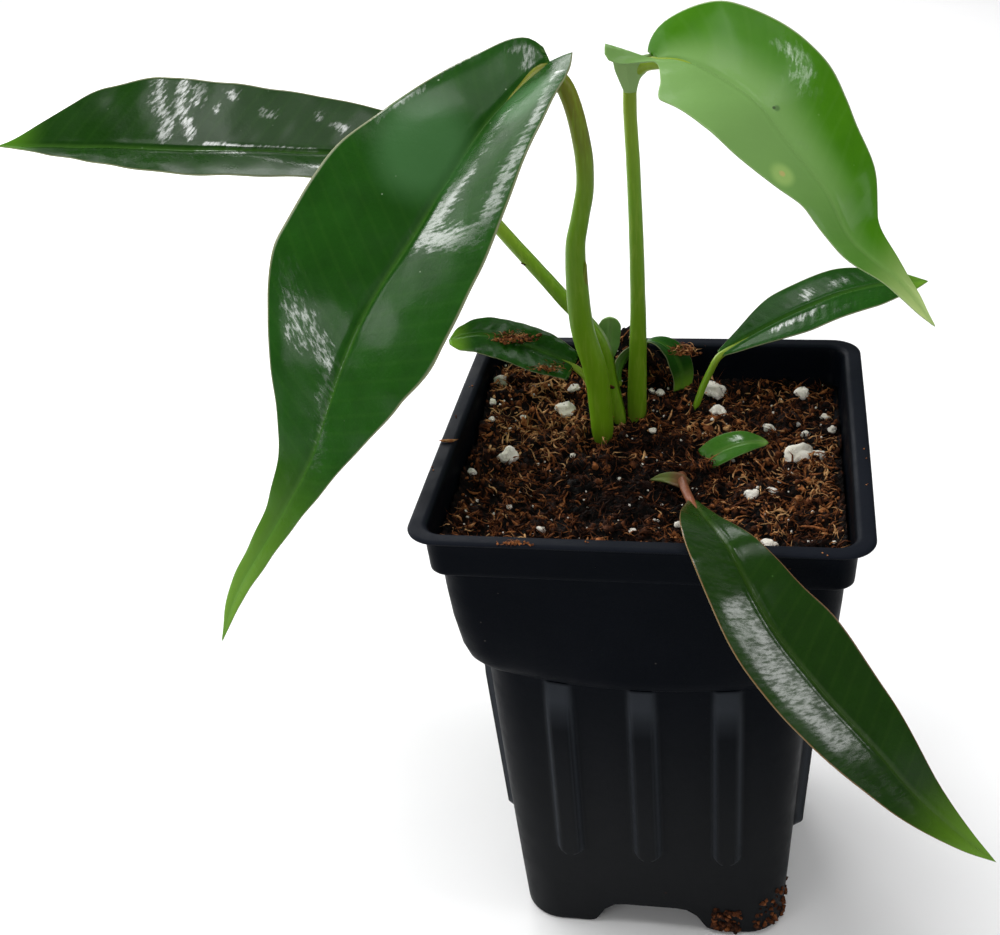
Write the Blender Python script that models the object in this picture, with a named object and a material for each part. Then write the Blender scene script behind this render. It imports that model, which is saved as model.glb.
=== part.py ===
"""Potted philodendron joepii: a young plant in a square nursery pot.

Measures are in millimetres from the pot's own axis, with +Z up and the pot's front
face towards -Y. MM turns them into Blender's metres. At the end an empty that
carries every piece moves the origin to the middle of the plant's outline, on the
surface that the pot stands on.
"""
import math
import random

import bmesh
import bpy
from mathutils import Vector, noise

MM = 0.001
CLEARANCE = 0.3

# The pot: a square pot whose lip is four inches across.
LIP_HALF = 51.0
LIP_TOP = 132.0
LIP_THICK = 1.2
LIP_CORNER = 7.3
BAND_TOP_HALF = 47.6
BAND_BOTTOM_HALF = 47.0
BAND_BOTTOM = 120.0
BAND_CORNER = 4.2
WALL = 1.2

UPPER_TOP_HALF = 45.4
UPPER_BOTTOM_HALF = 43.3
UPPER_CORNER = 7.0
LEDGE_HEIGHT = 86.5
LEDGE_WIDTH = 0.7

LOWER_TOP_HALF = 42.3
LOWER_TOP_CORNER = 12.0
LOWER_TOP_BULGE = 1.6
BASE_HEIGHT = -1.7
BASE_HALF = 34.7
BASE_CORNER = 10.5
CORNER_STEPS = 5
BULGE_REACH = 20.0
FLAT = 0.03

RIB_SPACING = 20.0
RIB_FOOT_WIDTH = 7.8
RIB_TOP_WIDTH = 4.2
RIB_BOTTOM = 25.5
RIB_PROUD = 2.4
RIB_ROOT = 0.8
RIB_LEVELLED = 0.6

CHANNEL_TOP = 6.3
FLOOR_TOP = 7.6
DRAIN_RADIUS = 3.5
DRAIN_RING = 21.0
DRAIN_BOTTOM = 4.0
FOOT_THICK = 1.4
POCKET_CORNER = 7.4

# The soil filling and the crown buried in it.
SOIL_LEVEL = 121.0
SOIL_TOP_HALF = BAND_BOTTOM_HALF - WALL - CLEARANCE
SOIL_CELLS = 17
CROWN = (-9.0, 21.5)
CROWN_TOP = 107.5
CROWN_BOTTOM = 86.0
CROWN_RADIUS = 9.0

BLADE_THICK = 0.8


for leftover in list(bpy.data.objects):
    bpy.data.objects.remove(leftover, do_unlink=True)


def material(name, colour, roughness, metallic=0.0):
    made = bpy.data.materials.new(name)
    made.use_nodes = True
    shader = made.node_tree.nodes["Principled BSDF"]
    shader.inputs["Base Color"].default_value = (*colour, 1.0)
    shader.inputs["Roughness"].default_value = roughness
    shader.inputs["Metallic"].default_value = metallic
    return made


POT_PLASTIC = material("pot_plastic", (0.012, 0.014, 0.018), 0.45)
SOIL_MIX = material("soil_mix", (0.09, 0.045, 0.022), 0.95)
ROOT_BARK = material("root_bark", (0.45, 0.33, 0.18), 0.8)
STALK_GREEN = material("stalk_green", (0.12, 0.22, 0.02), 0.4)
STALK_RED = material("stalk_red", (0.2, 0.08, 0.04), 0.5)
LEAF_DARK = material("leaf_dark", (0.015, 0.09, 0.012), 0.25)
LEAF_YOUNG = material("leaf_young", (0.1, 0.3, 0.03), 0.3)


# Curves and tables that every leaf is drawn with.

def between(points, share):
    """A point of the centripetal curve between the middle two of four points."""
    knots = [0.0]
    for before, after in zip(points, points[1:]):
        knots.append(knots[-1] + math.sqrt((after - before).length))
    at = knots[1] + share * (knots[2] - knots[1])

    def mixed(first, last, start, end):
        return first.lerp(last, (at - knots[start]) / (knots[end] - knots[start]))

    outer = [mixed(points[index], points[index + 1], index, index + 1) for index in range(3)]
    inner = [mixed(outer[index], outer[index + 1], index, index + 2) for index in range(2)]
    return mixed(inner[0], inner[1], 1, 2)


class Route:
    """A smooth line through the given points, read by the share of its length."""

    def __init__(self, points, steps=160):
        points = [Vector(point) for point in points]
        points = [2 * points[0] - points[1], *points, 2 * points[-1] - points[-2]]
        each = steps // (len(points) - 3) + 1
        self.dense = [between(points[index - 1:index + 3], step / each)
                      for index in range(1, len(points) - 2) for step in range(each)]
        self.dense.append(points[-2].copy())
        self.distance = [0.0]
        for before, after in zip(self.dense, self.dense[1:]):
            self.distance.append(self.distance[-1] + (after - before).length)
        self.length = self.distance[-1]

    def at(self, share):
        target = min(max(share, 0.0), 1.0) * self.length
        low, high = 0, len(self.distance) - 1
        while high - low > 1:
            middle = (low + high) // 2
            if self.distance[middle] <= target:
                low = middle
            else:
                high = middle
        span = self.distance[high] - self.distance[low]
        return self.dense[low].lerp(self.dense[high], (target - self.distance[low]) / span)

    def direction(self, share, reach=0.008):
        return (self.at(min(1.0, share + reach)) - self.at(max(0.0, share - reach))).normalized()


def read_table(rows, share):
    """A smooth value from rows of (share, value), with no overshoot."""
    if share <= rows[0][0]:
        return rows[0][1]
    if share >= rows[-1][0]:
        return rows[-1][1]
    index = max(k for k in range(len(rows) - 1) if rows[k][0] <= share)
    (x0, y0), (x1, y1) = rows[index], rows[index + 1]

    def slope(row):
        if row == 0 or row == len(rows) - 1:
            near = min(row, len(rows) - 2)
            return (rows[near + 1][1] - rows[near][1]) / (rows[near + 1][0] - rows[near][0])
        before = (rows[row][1] - rows[row - 1][1]) / (rows[row][0] - rows[row - 1][0])
        after = (rows[row + 1][1] - rows[row][1]) / (rows[row + 1][0] - rows[row][0])
        return 0.0 if before * after <= 0 else 2 * before * after / (before + after)

    width = x1 - x0
    s = (share - x0) / width
    start = (2 * s ** 3 - 3 * s ** 2 + 1) * y0 + (s ** 3 - 2 * s ** 2 + s) * slope(index) * width
    end = (3 * s ** 2 - 2 * s ** 3) * y1 + (s ** 3 - s ** 2) * slope(index + 1) * width
    return start + end


# Objects and Boolean joints.

def mesh_object(name, points, faces, finish):
    mesh = bpy.data.meshes.new(name)
    mesh.from_pydata([Vector(point) * MM for point in points], [], faces)
    mesh.materials.append(finish)
    made = bpy.data.objects.new(name, mesh)
    bpy.context.collection.objects.link(made)
    return made


def bmesh_object(name, shape, finish):
    mesh = bpy.data.meshes.new(name)
    shape.to_mesh(mesh)
    shape.free()
    mesh.materials.append(finish)
    made = bpy.data.objects.new(name, mesh)
    bpy.context.collection.objects.link(made)
    return made


def apply_modifiers(target):
    bpy.ops.object.select_all(action="DESELECT")
    bpy.context.view_layer.objects.active = target
    target.select_set(True)
    for modifier in list(target.modifiers):
        bpy.ops.object.modifier_apply(modifier=modifier.name)


def combine(target, others, operation):
    """Join or cut by each of the others in turn, which are then removed."""
    for other in others:
        modifier = target.modifiers.new(operation.lower(), "BOOLEAN")
        modifier.operation = operation
        modifier.solver = "EXACT"
        modifier.object = other
        apply_modifiers(target)
        bpy.data.objects.remove(other, do_unlink=True)
    return target


def shade(target, angle=35):
    target.data.shade_smooth()
    target.data.set_sharp_from_angle(angle=math.radians(angle))
    return target


def rounded_square(half, corner, height, bulge=FLAT):
    """One loop of a square with round corners and slightly arched sides.

    The bulge is how far a side falls back BULGE_REACH from its middle. The loop runs
    anticlockwise as seen from above.
    """
    side_radius = BULGE_REACH ** 2 / (2 * bulge)
    lean = (side_radius - half) / (side_radius - corner)
    turn = math.acos(lean / math.sqrt(2)) - math.radians(45)
    centre = (side_radius - corner) * math.sin(turn)
    quarter = []
    for step in range(CORNER_STEPS + 1):
        angle = turn + (math.radians(90) - 2 * turn) * step / CORNER_STEPS
        quarter.append(Vector((centre + corner * math.cos(angle), centre + corner * math.sin(angle))))
    for share in (0.5, 0.0, -0.5):
        angle = turn * share
        quarter.append(Vector((side_radius * math.sin(angle),
                               half - side_radius + side_radius * math.cos(angle))))
    loop = []
    for turns in range(4):
        for point in quarter:
            for _ in range(turns):
                point = Vector((-point.y, point.x))
            loop.append((point.x, point.y, height))
    return loop


def loft(name, loops, finish):
    """A closed solid through loops that run from its bottom to its top.

    Its sides are triangles, so that no face is bent where a Boolean cuts it.
    """
    count = len(loops[0])
    points = [point for loop in loops for point in loop]
    faces = [tuple(range(count - 1, -1, -1))]
    for row in range(len(loops) - 1):
        for step in range(count):
            after = (step + 1) % count
            faces.append((row * count + step, row * count + after, (row + 1) * count + after))
            faces.append((row * count + step, (row + 1) * count + after, (row + 1) * count + step))
    faces.append(tuple(range((len(loops) - 1) * count, len(loops) * count)))
    return mesh_object(name, points, faces, finish)


def tube(name, points, radii, finish, sides=10, rings=14, grow=0.0, level_foot=False):
    """A stalk or root: round rings along a smooth route, with flat ends."""
    route = Route(points)
    side = Vector((0, 1, 0))
    loops = []
    for ring in range(rings + 1):
        share = ring / rings
        along = route.direction(share)
        side = (side - side.dot(along) * along).normalized()
        across = along.cross(side)
        middle = route.at(share)
        if ring == 0:
            middle = middle - grow * along
        if ring == rings:
            middle = middle + grow * along
        radius = read_table(radii, share) + grow
        loop = [middle + radius * (math.cos(turn) * side + math.sin(turn) * across)
                for turn in (math.tau * step / sides for step in range(sides))]
        if ring == 0 and level_foot:
            loop = [Vector((point.x, point.y, points[0][2] - grow)) for point in loop]
        loops.append(loop)
    return loft(name, loops, finish)


# The pot. A row holds a height, the half width, the corner radius and the bulge.

def lower_row(height, inset=0.0):
    share = (height - BASE_HEIGHT) / (LEDGE_HEIGHT - BASE_HEIGHT)
    half = BASE_HALF + share * (LOWER_TOP_HALF - BASE_HALF)
    corner = BASE_CORNER + share * (LOWER_TOP_CORNER - BASE_CORNER)
    return height, half - inset, corner - inset, FLAT + share * (LOWER_TOP_BULGE - FLAT)


def upper_rows(inset=0.0):
    """The upper wall: round and arched at its lower edge, square at its top."""
    edge = LOWER_TOP_HALF + LEDGE_WIDTH
    rows = [(LEDGE_HEIGHT + 0.6, edge, LOWER_TOP_CORNER, LOWER_TOP_BULGE),
            (LEDGE_HEIGHT + 1.8, edge + 0.3, LOWER_TOP_CORNER - 2.0, 1.1),
            (LEDGE_HEIGHT + 4.5, UPPER_BOTTOM_HALF, LOWER_TOP_CORNER - 4.0, 0.5),
            (LEDGE_HEIGHT + 9.0, UPPER_BOTTOM_HALF + 0.25, UPPER_CORNER + 0.5, 0.15),
            (BAND_BOTTOM, UPPER_TOP_HALF, UPPER_CORNER, FLAT)]
    return [(height, half - inset, corner - inset, bulge) for height, half, corner, bulge in rows]


def as_loops(rows):
    return [rounded_square(half, corner, height, bulge) for height, half, corner, bulge in rows]


def pot_outside():
    base = lower_row(BASE_HEIGHT)
    rows = [(BASE_HEIGHT, base[1] - 0.7, base[2] - 0.7, FLAT), lower_row(BASE_HEIGHT + 0.8)]
    rows += [lower_row(LEDGE_HEIGHT)]
    rows += upper_rows()
    rows += [(BAND_BOTTOM + 0.2, BAND_BOTTOM_HALF - 0.7, BAND_CORNER, FLAT),
             (BAND_BOTTOM + 1.4, BAND_BOTTOM_HALF, BAND_CORNER, FLAT),
             (LIP_TOP - LIP_THICK, BAND_TOP_HALF, BAND_CORNER + 0.3, FLAT),
             (LIP_TOP - LIP_THICK + 0.1, LIP_HALF - 0.4, LIP_CORNER - 0.3, FLAT),
             (LIP_TOP - 0.5, LIP_HALF, LIP_CORNER, FLAT),
             (LIP_TOP, LIP_HALF - 0.4, LIP_CORNER - 0.3, FLAT)]
    return as_loops(rows)


def inside_rows():
    """The inner wall from the floor to just above the wider band's inner ledge."""
    rows = [lower_row(FLOOR_TOP, WALL), lower_row(LEDGE_HEIGHT - 0.6, WALL)]
    rows += upper_rows(WALL)
    rows += [(BAND_BOTTOM + 1.4, BAND_BOTTOM_HALF - WALL, BAND_CORNER - 1.0, FLAT)]
    return rows


def pot_space():
    rows = inside_rows()
    rows += [(LIP_TOP - 1.6, BAND_TOP_HALF - WALL, BAND_CORNER - 0.8, FLAT),
             (LIP_TOP - 0.6, BAND_TOP_HALF - 0.8, BAND_CORNER, FLAT),
             (LIP_TOP + 0.4, BAND_TOP_HALF + 0.4, BAND_CORNER + 1.0, FLAT)]
    return loft("space", as_loops(rows), POT_PLASTIC)


# A foot's hollow: a height, and how far its inner and outer sides lie from the axis.
POCKET_ROWS = [(BASE_HEIGHT + FOOT_THICK, 16.6, 33.0), (2.6, 14.2, 33.3), (FLOOR_TOP + 1.0, 11.6, 33.8)]


def foot_pockets(name, gap, finish):
    """The hollow inside each corner foot, which opens into the pot."""
    pockets = []
    for x_sign in (-1, 1):
        for y_sign in (-1, 1):
            loops = []
            for row, (height, near, far) in enumerate(POCKET_ROWS):
                lift = gap if row == 0 else 0.0
                middle, half = (near + far) / 2, (far - near) / 2 - gap
                loops.append([(point[0] + x_sign * middle, point[1] + y_sign * middle, point[2])
                              for point in rounded_square(half, POCKET_CORNER - gap, height + lift)])
            pockets.append(loft(name, loops, finish))
    return pockets


# A rib from its round lower end up to the ledge: how far up, how much narrower each
# flank is there, and the share of its full depth. At the top it is as deep as the ledge.
RIB_ROWS = [(0.0, 2.0, 0.06), (0.8, 0.9, 0.56), (2.2, 0.1, 0.94), (4.0, 0.0, 1.0), (48.0, 0.0, 1.0),
            (LEDGE_HEIGHT + 1.0 - RIB_BOTTOM, 0.0, 0.4)]


def rib(side_turn, offset):
    """One upright rib with sloped flanks, whose outer face is more level than the wall."""
    angle = math.radians(90 * side_turn)
    loops = []
    for rise, narrow, depth in RIB_ROWS:
        height = RIB_BOTTOM + rise
        _, half, _, bulge = lower_row(height)
        wall = half - bulge * (offset / BULGE_REACH) ** 2
        proud = RIB_PROUD * depth + RIB_LEVELLED * (half - wall)
        foot = RIB_FOOT_WIDTH / 2 - narrow
        top = RIB_TOP_WIDTH / 2 - narrow * RIB_TOP_WIDTH / RIB_FOOT_WIDTH
        outline = [(offset - foot, RIB_ROOT - wall), (offset - foot, -wall), (offset - top, -wall - proud),
                   (offset + top, -wall - proud), (offset + foot, -wall), (offset + foot, RIB_ROOT - wall)]
        loops.append([(x * math.cos(angle) - y * math.sin(angle),
                       x * math.sin(angle) + y * math.cos(angle), height) for x, y in outline])
    return loft("rib", loops, POT_PLASTIC)


# One half of the arch between two feet: a place across it and its height there.
ARCH = [(-15.6, BASE_HEIGHT - 1.0), (-15.2, BASE_HEIGHT + 0.4), (-14.0, 0.8), (-12.0, 3.8),
        (-10.2, 5.6), (-8.0, CHANNEL_TOP)]


def channel(along_x):
    """The arched channel between two pairs of feet."""
    reach = BASE_HALF + 5.0
    outline = ARCH + [(-across, height) for across, height in reversed(ARCH)]
    loops = []
    for end in (-reach, reach):
        if along_x:
            loops.append([(end, across, height) for across, height in reversed(outline)])
        else:
            loops.append([(across, end, height) for across, height in outline])
    return loft("channel", loops, POT_PLASTIC)


def drain(quarter):
    angle = math.radians(90 * quarter)
    x, y = DRAIN_RING * math.cos(angle), DRAIN_RING * math.sin(angle)
    return tube("drain", [(x, y, DRAIN_BOTTOM), (x, y, 6.0), (x, y, FLOOR_TOP + 1.0)],
                [(0, DRAIN_RADIUS), (1, DRAIN_RADIUS)], POT_PLASTIC, sides=16, rings=1)


def make_pot():
    pot = loft("pot", pot_outside(), POT_PLASTIC)
    ribs = [rib(turn, offset) for turn in range(4) for offset in (-RIB_SPACING, 0.0, RIB_SPACING)]
    combine(pot, ribs, "UNION")
    combine(pot, [pot_space()], "DIFFERENCE")
    combine(pot, foot_pockets("pocket", 0.0, POT_PLASTIC), "DIFFERENCE")
    combine(pot, [channel(True), channel(False)], "DIFFERENCE")
    combine(pot, [drain(quarter) for quarter in range(4)], "DIFFERENCE")
    return shade(pot)


# The leaves. Each blade has a midrib from its base to its tip, the way its upper face
# looks, the width of each half, how far each half is folded up from flat, how much it
# curls on the way out, and how far its side veins sweep back. Left and right are as
# seen from the base, looking along the leaf with its upper face up.

LARGE_LEAF = dict(
    midrib=[(-22, 14, 218), (-28, 8, 214), (-36.5, -2, 206.5), (-48, -14, 191), (-59, -24, 176),
            (-65, -28, 165), (-75, -33, 141.5), (-82.5, -35, 129), (-90.5, -36, 117),
            (-98.5, -36, 104), (-104.5, -35, 90)],
    face=[(0, (-0.3, -0.7, 0.65)), (0.3, (-0.15, -0.75, 0.6)), (1, (-0.05, -0.8, 0.6))],
    left=[(0, 7.4), (0.05, 14.4), (0.15, 20), (0.3, 23.6), (0.42, 24.5), (0.5, 19.6), (0.65, 7.6),
          (0.75, 4.4), (0.9, 2.3), (1, 0)],
    right=[(0, 4.2), (0.03, 10.4), (0.05, 12.2), (0.15, 18.9), (0.3, 27.6), (0.4, 27.2), (0.5, 20.2),
           (0.65, 8.8), (0.75, 4.5), (0.9, 2.4), (1, 0)],
    fold_left=[(0, 40), (0.2, 33), (0.4, 25), (0.7, 20), (1, 10)],
    fold_right=[(0, 20), (0.3, 12), (1, 5)],
    curl=[(0, -10), (1, -10)],
    sweep_left=[(0, 25), (0.12, 12), (0.3, 5), (1, 0)],
    sweep_right=[(0, 25), (0.12, 10), (0.3, 5), (1, 0)])

YOUNG_LEAF = dict(
    midrib=[(1.5, 24, 214.5), (6, 21, 215.5), (15.5, 14, 213.5), (24.5, 6, 209), (31.5, 0, 201.5),
            (38, -4, 194.5), (44, -8, 184.5), (54, -11, 176.5), (62.5, -12, 166)],
    face=[(0, (-0.1, -0.6, 0.75)), (0.12, (0.1, -0.6, 0.75)), (0.4, (0.5, -0.6, 0.65)),
          (0.8, (0.6, -0.55, 0.5)), (1, (0.6, -0.5, 0.5))],
    left=[(0, 4.6), (0.05, 11), (0.15, 17.6), (0.3, 19.4), (0.42, 17.8), (0.55, 14.8), (0.7, 9.3),
          (0.85, 3.2), (0.93, 1.5), (1, 0)],
    right=[(0, 13.2), (0.02, 14), (0.035, 11.4), (0.06, 5), (0.08, 5.6), (0.1, 7.4), (0.15, 12),
           (0.2, 15.6), (0.35, 16.2), (0.5, 11.2), (0.65, 6.6), (0.8, 3.8), (0.92, 2.3), (1, 0)],
    fold_left=[(0, 20), (1, 12)],
    fold_right=[(0, 45), (0.05, 26), (0.12, 14), (1, 8)],
    curl=[(0, -10), (1, -10)],
    sweep_left=[(0, 60), (0.06, 35), (0.2, 15), (0.35, 5), (1, 0)],
    sweep_right=[(0, 88), (0.02, 78), (0.035, 66), (0.06, 56), (0.1, 40), (0.2, 15), (0.35, 3), (1, 0)])

FAR_LEFT_LEAF = dict(
    midrib=[(-50, 32, 187), (-56.5, 31, 189.3), (-76.5, 26, 193), (-100.3, 20, 196.4), (-119.3, 17.5, 198),
            (-140.5, 17.5, 199), (-162.5, 18, 199.5)],
    face=[(0, (0, -0.3, 0.95)), (1, (0, -0.4, 0.93))],
    left=[(0, 6), (0.08, 9.5), (0.3, 15.5), (0.5, 15.2), (0.65, 11.5), (0.85, 4.8), (0.95, 1.5), (1, 0)],
    right=[(0, 7), (0.08, 11), (0.3, 16.7), (0.5, 19.4), (0.65, 20.5), (0.78, 16.8), (0.9, 7),
           (0.97, 1.6), (1, 0)],
    fold_left=[(0, 20), (1, 20)],
    fold_right=[(0, 22), (1, 22)],
    curl=[(0, -5), (1, -5)],
    sweep_left=[(0, 45), (0.12, 20), (0.3, 5), (1, 0)],
    sweep_right=[(0, 45), (0.12, 20), (0.3, 5), (1, 0)])

RIGHT_LEAF = dict(
    midrib=[(15, 34, 135.5), (21, 38, 138), (32.5, 44, 142), (45, 50, 145), (58, 55, 146),
            (68, 58, 145.5)],
    face=[(0, (-0.2, -0.45, 0.85)), (1, (-0.1, -0.4, 0.9))],
    left=[(0, 1.2), (0.1, 2.8), (0.35, 7.5), (0.6, 8), (0.85, 4), (1, 0)],
    right=[(0, 1.2), (0.1, 4.2), (0.4, 9.2), (0.7, 8.2), (0.9, 4), (1, 0)],
    fold_left=[(0, 20), (1, 10)],
    fold_right=[(0, 20), (1, 10)],
    curl=[(0, -5), (1, -5)],
    sweep_left=[(0, 0), (1, 0)],
    sweep_right=[(0, 0), (1, 0)])

FRONT_LEAF = dict(
    midrib=[(10.5, -17, 122.8), (13.8, -33, 129), (17, -44, 133), (20, -51.5, 134),
            (24, -57, 129.5), (29.5, -61.5, 121), (38, -65, 110.5), (50, -68, 97), (61, -69, 83),
            (71, -68.5, 72), (79, -66, 63)],
    face=[(0, (0.1, -0.35, 0.95)), (0.3, (0.3, -0.65, 0.75)), (1, (0.45, -0.8, 0.5))],
    left=[(0, 1.0), (0.05, 1.7), (0.15, 3), (0.25, 5), (0.35, 8.6), (0.48, 12), (0.62, 10), (0.75, 6.8),
          (0.9, 2.6), (1, 0)],
    right=[(0, 1.0), (0.05, 2.4), (0.15, 5.6), (0.3, 9.6), (0.48, 11.3), (0.6, 10.6), (0.75, 7.3),
           (0.9, 2.9), (1, 0)],
    fold_left=[(0, 15), (1, 15)],
    fold_right=[(0, 15), (1, 15)],
    curl=[(0, -5), (1, -5)],
    sweep_left=[(0, 0), (1, 0)],
    sweep_right=[(0, 0), (1, 0)])

BACK_LEFT_LEAF = dict(
    midrib=[(-22.5, 30, 134), (-30, 31, 137), (-39.5, 32, 140), (-47.5, 32, 141.5),
            (-55.5, 30, 141)],
    face=[(0, (-0.1, -0.5, 0.85)), (1, (-0.2, -0.5, 0.8))],
    left=[(0, 4.6), (0.3, 6.8), (0.7, 6.2), (0.92, 4.4), (1, 1.0)],
    right=[(0, 3.4), (0.3, 5.6), (0.7, 5.4), (0.92, 3.0), (1, 0)],
    fold_left=[(0, 10), (1, 10)],
    fold_right=[(0, 10), (1, 10)],
    curl=[(0, -10), (1, -10)],
    sweep_left=[(0, 0), (1, 0)],
    sweep_right=[(0, 0), (1, 0)])

CURLED_LEAF = dict(
    midrib=[(-12.2, 37.8, 127), (-11.4, 38, 131), (-8.6, 38.2, 134.8), (-3.2, 38.4, 137), (1.6, 38.4, 134.6),
            (4.0, 38.2, 130.5), (4.8, 38.3, 126.5)],
    face=[(0, (-0.9, 0.4, 0.2)), (0.3, (-0.4, 0.4, 0.8)), (0.48, (0, 0.35, 0.9)), (0.7, (0.6, -0.3, 0.6)),
          (0.85, (0.7, -0.75, 0.1)), (1, (0.6, -0.8, -0.1))],
    left=[(0, 1.5), (0.2, 3), (0.6, 3.6), (0.85, 3.6), (1, 2)],
    right=[(0, 1.5), (0.2, 3), (0.6, 3.4), (0.85, 3), (1, 1.6)],
    fold_left=[(0, 5), (1, 5)],
    fold_right=[(0, 5), (1, 5)],
    curl=[(0, 0), (1, 0)],
    sweep_left=[(0, 0), (1, 0)],
    sweep_right=[(0, 0), (1, 0)])

SEEDLING_LEAF = dict(
    midrib=[(13.2, 5.8, 122.9), (16.6, 6.2, 124), (21.6, 7, 125), (27.9, 8.1, 124.7)],
    face=[(0, (0, -0.4, 0.9)), (1, (0, -0.35, 0.95))],
    left=[(0, 3.4), (0.3, 4.4), (0.7, 3.3), (1, 0)],
    right=[(0, 3.2), (0.3, 3.9), (0.7, 2.7), (1, 0)],
    fold_left=[(0, 12), (1, 8)],
    fold_right=[(0, 12), (1, 8)],
    curl=[(0, -5), (1, -5)],
    sweep_left=[(0, 0), (1, 0)],
    sweep_right=[(0, 0), (1, 0)])

PALE_LEAF = dict(
    midrib=[(-14.5, 41, 131), (-14.5, 41, 136), (-14.2, 40.5, 140), (-14, 40, 143.3)],
    face=[(0, (0.1, -0.9, 0.4)), (1, (0.1, -0.9, 0.4))],
    left=[(0, 1.2), (0.35, 2.8), (0.75, 3), (0.93, 2), (1, 0.4)],
    right=[(0, 1.2), (0.35, 2.8), (0.75, 3), (0.93, 2), (1, 0.4)],
    fold_left=[(0, 10), (1, 10)],
    fold_right=[(0, 10), (1, 10)],
    curl=[(0, -10), (1, -10)],
    sweep_left=[(0, 0), (1, 0)],
    sweep_right=[(0, 0), (1, 0)])


def blade_rows(leaf, rows, columns):
    """Rows of points across the blade, from the left margin to the right one."""
    route = Route(leaf["midrib"])
    made = []
    for row in range(rows + 1):
        share = row / rows
        along = route.direction(share)
        face = Vector([read_table([(at, look[axis]) for at, look in leaf["face"]], share)
                       for axis in range(3)])
        face = (face - face.dot(along) * along).normalized()
        right = along.cross(face)
        middle = route.at(share)
        halves = []
        for sign, side in ((-1, "left"), (1, "right")):
            width = read_table(leaf[side], share)
            fold = math.radians(read_table(leaf["fold_" + side], share))
            curl = math.radians(read_table(leaf["curl"], share))
            sweep = math.radians(read_table(leaf["sweep_" + side], share))
            outward = math.cos(sweep) * sign * right - math.sin(sweep) * along
            point = middle.copy()
            half = []
            for column in range(columns):
                angle = fold + curl * (column + 0.5) / columns
                point = point + width / columns * (math.cos(angle) * outward + math.sin(angle) * face)
                half.append(point.copy())
            halves.append(half)
        made.append(halves[0][::-1] + [middle] + halves[1])
    return made


def make_blade(name, leaf, rows, columns, finish, thick=BLADE_THICK):
    """A thin solid blade whose two faces are split into triangles alike."""
    grid = blade_rows(leaf, rows, columns)
    pointed = leaf["left"][-1][1] == 0
    points = [point for line in (grid[:-1] if pointed else grid) for point in line]
    across = 2 * columns + 1
    faces = []
    for row in range(rows - (1 if pointed else 0)):
        for column in range(across - 1):
            first = row * across + column
            faces.append((first, first + 1, first + across + 1, first + across))
    if pointed:
        points.append(grid[-1][columns])
        for column in range(across - 1):
            first = (rows - 1) * across + column
            faces.append((first, first + 1, len(points) - 1))
    blade = mesh_object(name, points, faces, finish)
    blade.modifiers.new("triangles", "TRIANGULATE")
    wall = blade.modifiers.new("thickness", "SOLIDIFY")
    wall.thickness = thick * MM
    wall.offset = 0.0
    apply_modifiers(blade)
    return shade(blade, 60)


# Stalks, from the crown up. Each hole in the soil is the same stalk, grown by the clearance.
STALK_FOOT = CROWN_TOP + CLEARANCE

LARGE_STALK = dict(
    points=[(-12.5, 18, STALK_FOOT), (-14, 16.3, 117), (-14.3, 15.8, 128), (-15.3, 15.8, 140),
            (-18, 15.6, 151.5), (-18.8, 15.3, 166), (-18.6, 15.1, 174), (-17.1, 14.9, 181.2),
            (-15.7, 14.7, 188.2), (-15.5, 14.6, 195), (-16.3, 14.4, 201.7), (-17.7, 14.3, 208.3),
            (-19.2, 14.3, 212.3), (-21, 14.1, 214.4), (-23.1, 13.6, 215)],
    radii=[(0, 2.2), (0.1, 3.1), (0.4, 2.95), (0.5, 2.5), (0.6, 2.0), (0.9, 1.9), (1, 1.3)],
    sides=10, rings=26)
YOUNG_STALK = dict(
    points=[(-6.8, 25, STALK_FOOT), (-6.3, 27, 120), (-6.0, 27.4, 130), (-5.4, 27.9, 146),
            (-5.3, 28.3, 161), (-5.4, 28.7, 176), (-5.7, 29.1, 190), (-6.1, 29.6, 203),
            (-5.6, 29.5, 208.5), (-3.0, 27.9, 212.0), (1.2, 25.2, 213.3)],
    radii=[(0, 1.8), (0.12, 2.45), (0.4, 1.9), (0.7, 1.65), (0.92, 1.5), (1, 1.2)],
    sides=10, rings=18)
FAR_LEFT_STALK = dict(
    points=[(-10.3, 23.2, STALK_FOOT), (-10.8, 25, 116), (-11, 25.6, 121), (-12.8, 27, 130),
            (-14.9, 28, 141), (-19.5, 29, 148), (-24.1, 30, 152.8), (-30.2, 31, 159.9),
            (-36.4, 32, 167), (-41.5, 33, 173), (-45.5, 33.2, 178.8), (-48.4, 33, 183),
            (-50.6, 32.7, 185)],
    radii=[(0, 1.3), (0.12, 1.75), (0.5, 1.55), (0.92, 1.4), (1, 1.1)],
    sides=8, rings=20)
RIGHT_STALK = dict(
    points=[(-3.3, 26, STALK_FOOT), (-1, 27.5, 110.5), (4, 29.5, 115), (8.1, 31, 119.8),
            (9.4, 31.5, 123.5), (10.6, 32.2, 127), (12.4, 33, 131), (14.6, 33.7, 135.1)],
    radii=[(0, 1.0), (0.5, 0.95), (1, 0.95)],
    sides=8, rings=12)
FRONT_STALK = dict(
    points=[(-4.8, 15.5, STALK_FOOT), (-1, 10.5, 111), (4, 4, 116), (7.2, -2.2, 120.8),
            (7.6, -6.5, 122.4), (8.6, -11.5, 122.8), (10.3, -16.5, 122.7)],
    radii=[(0, 1.1), (0.5, 1.1), (1, 1.0)],
    sides=8, rings=12)
BACK_LEFT_STALK = dict(
    points=[(-14.5, 23.8, STALK_FOOT), (-15.8, 24.6, 114), (-16.5, 25.4, 120), (-17.5, 26.8, 127),
            (-19.5, 28.4, 131.5), (-23.5, 30.1, 134.3)],
    radii=[(0, 1.1), (0.5, 1.1), (1, 0.9)],
    sides=8, rings=10)
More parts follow.
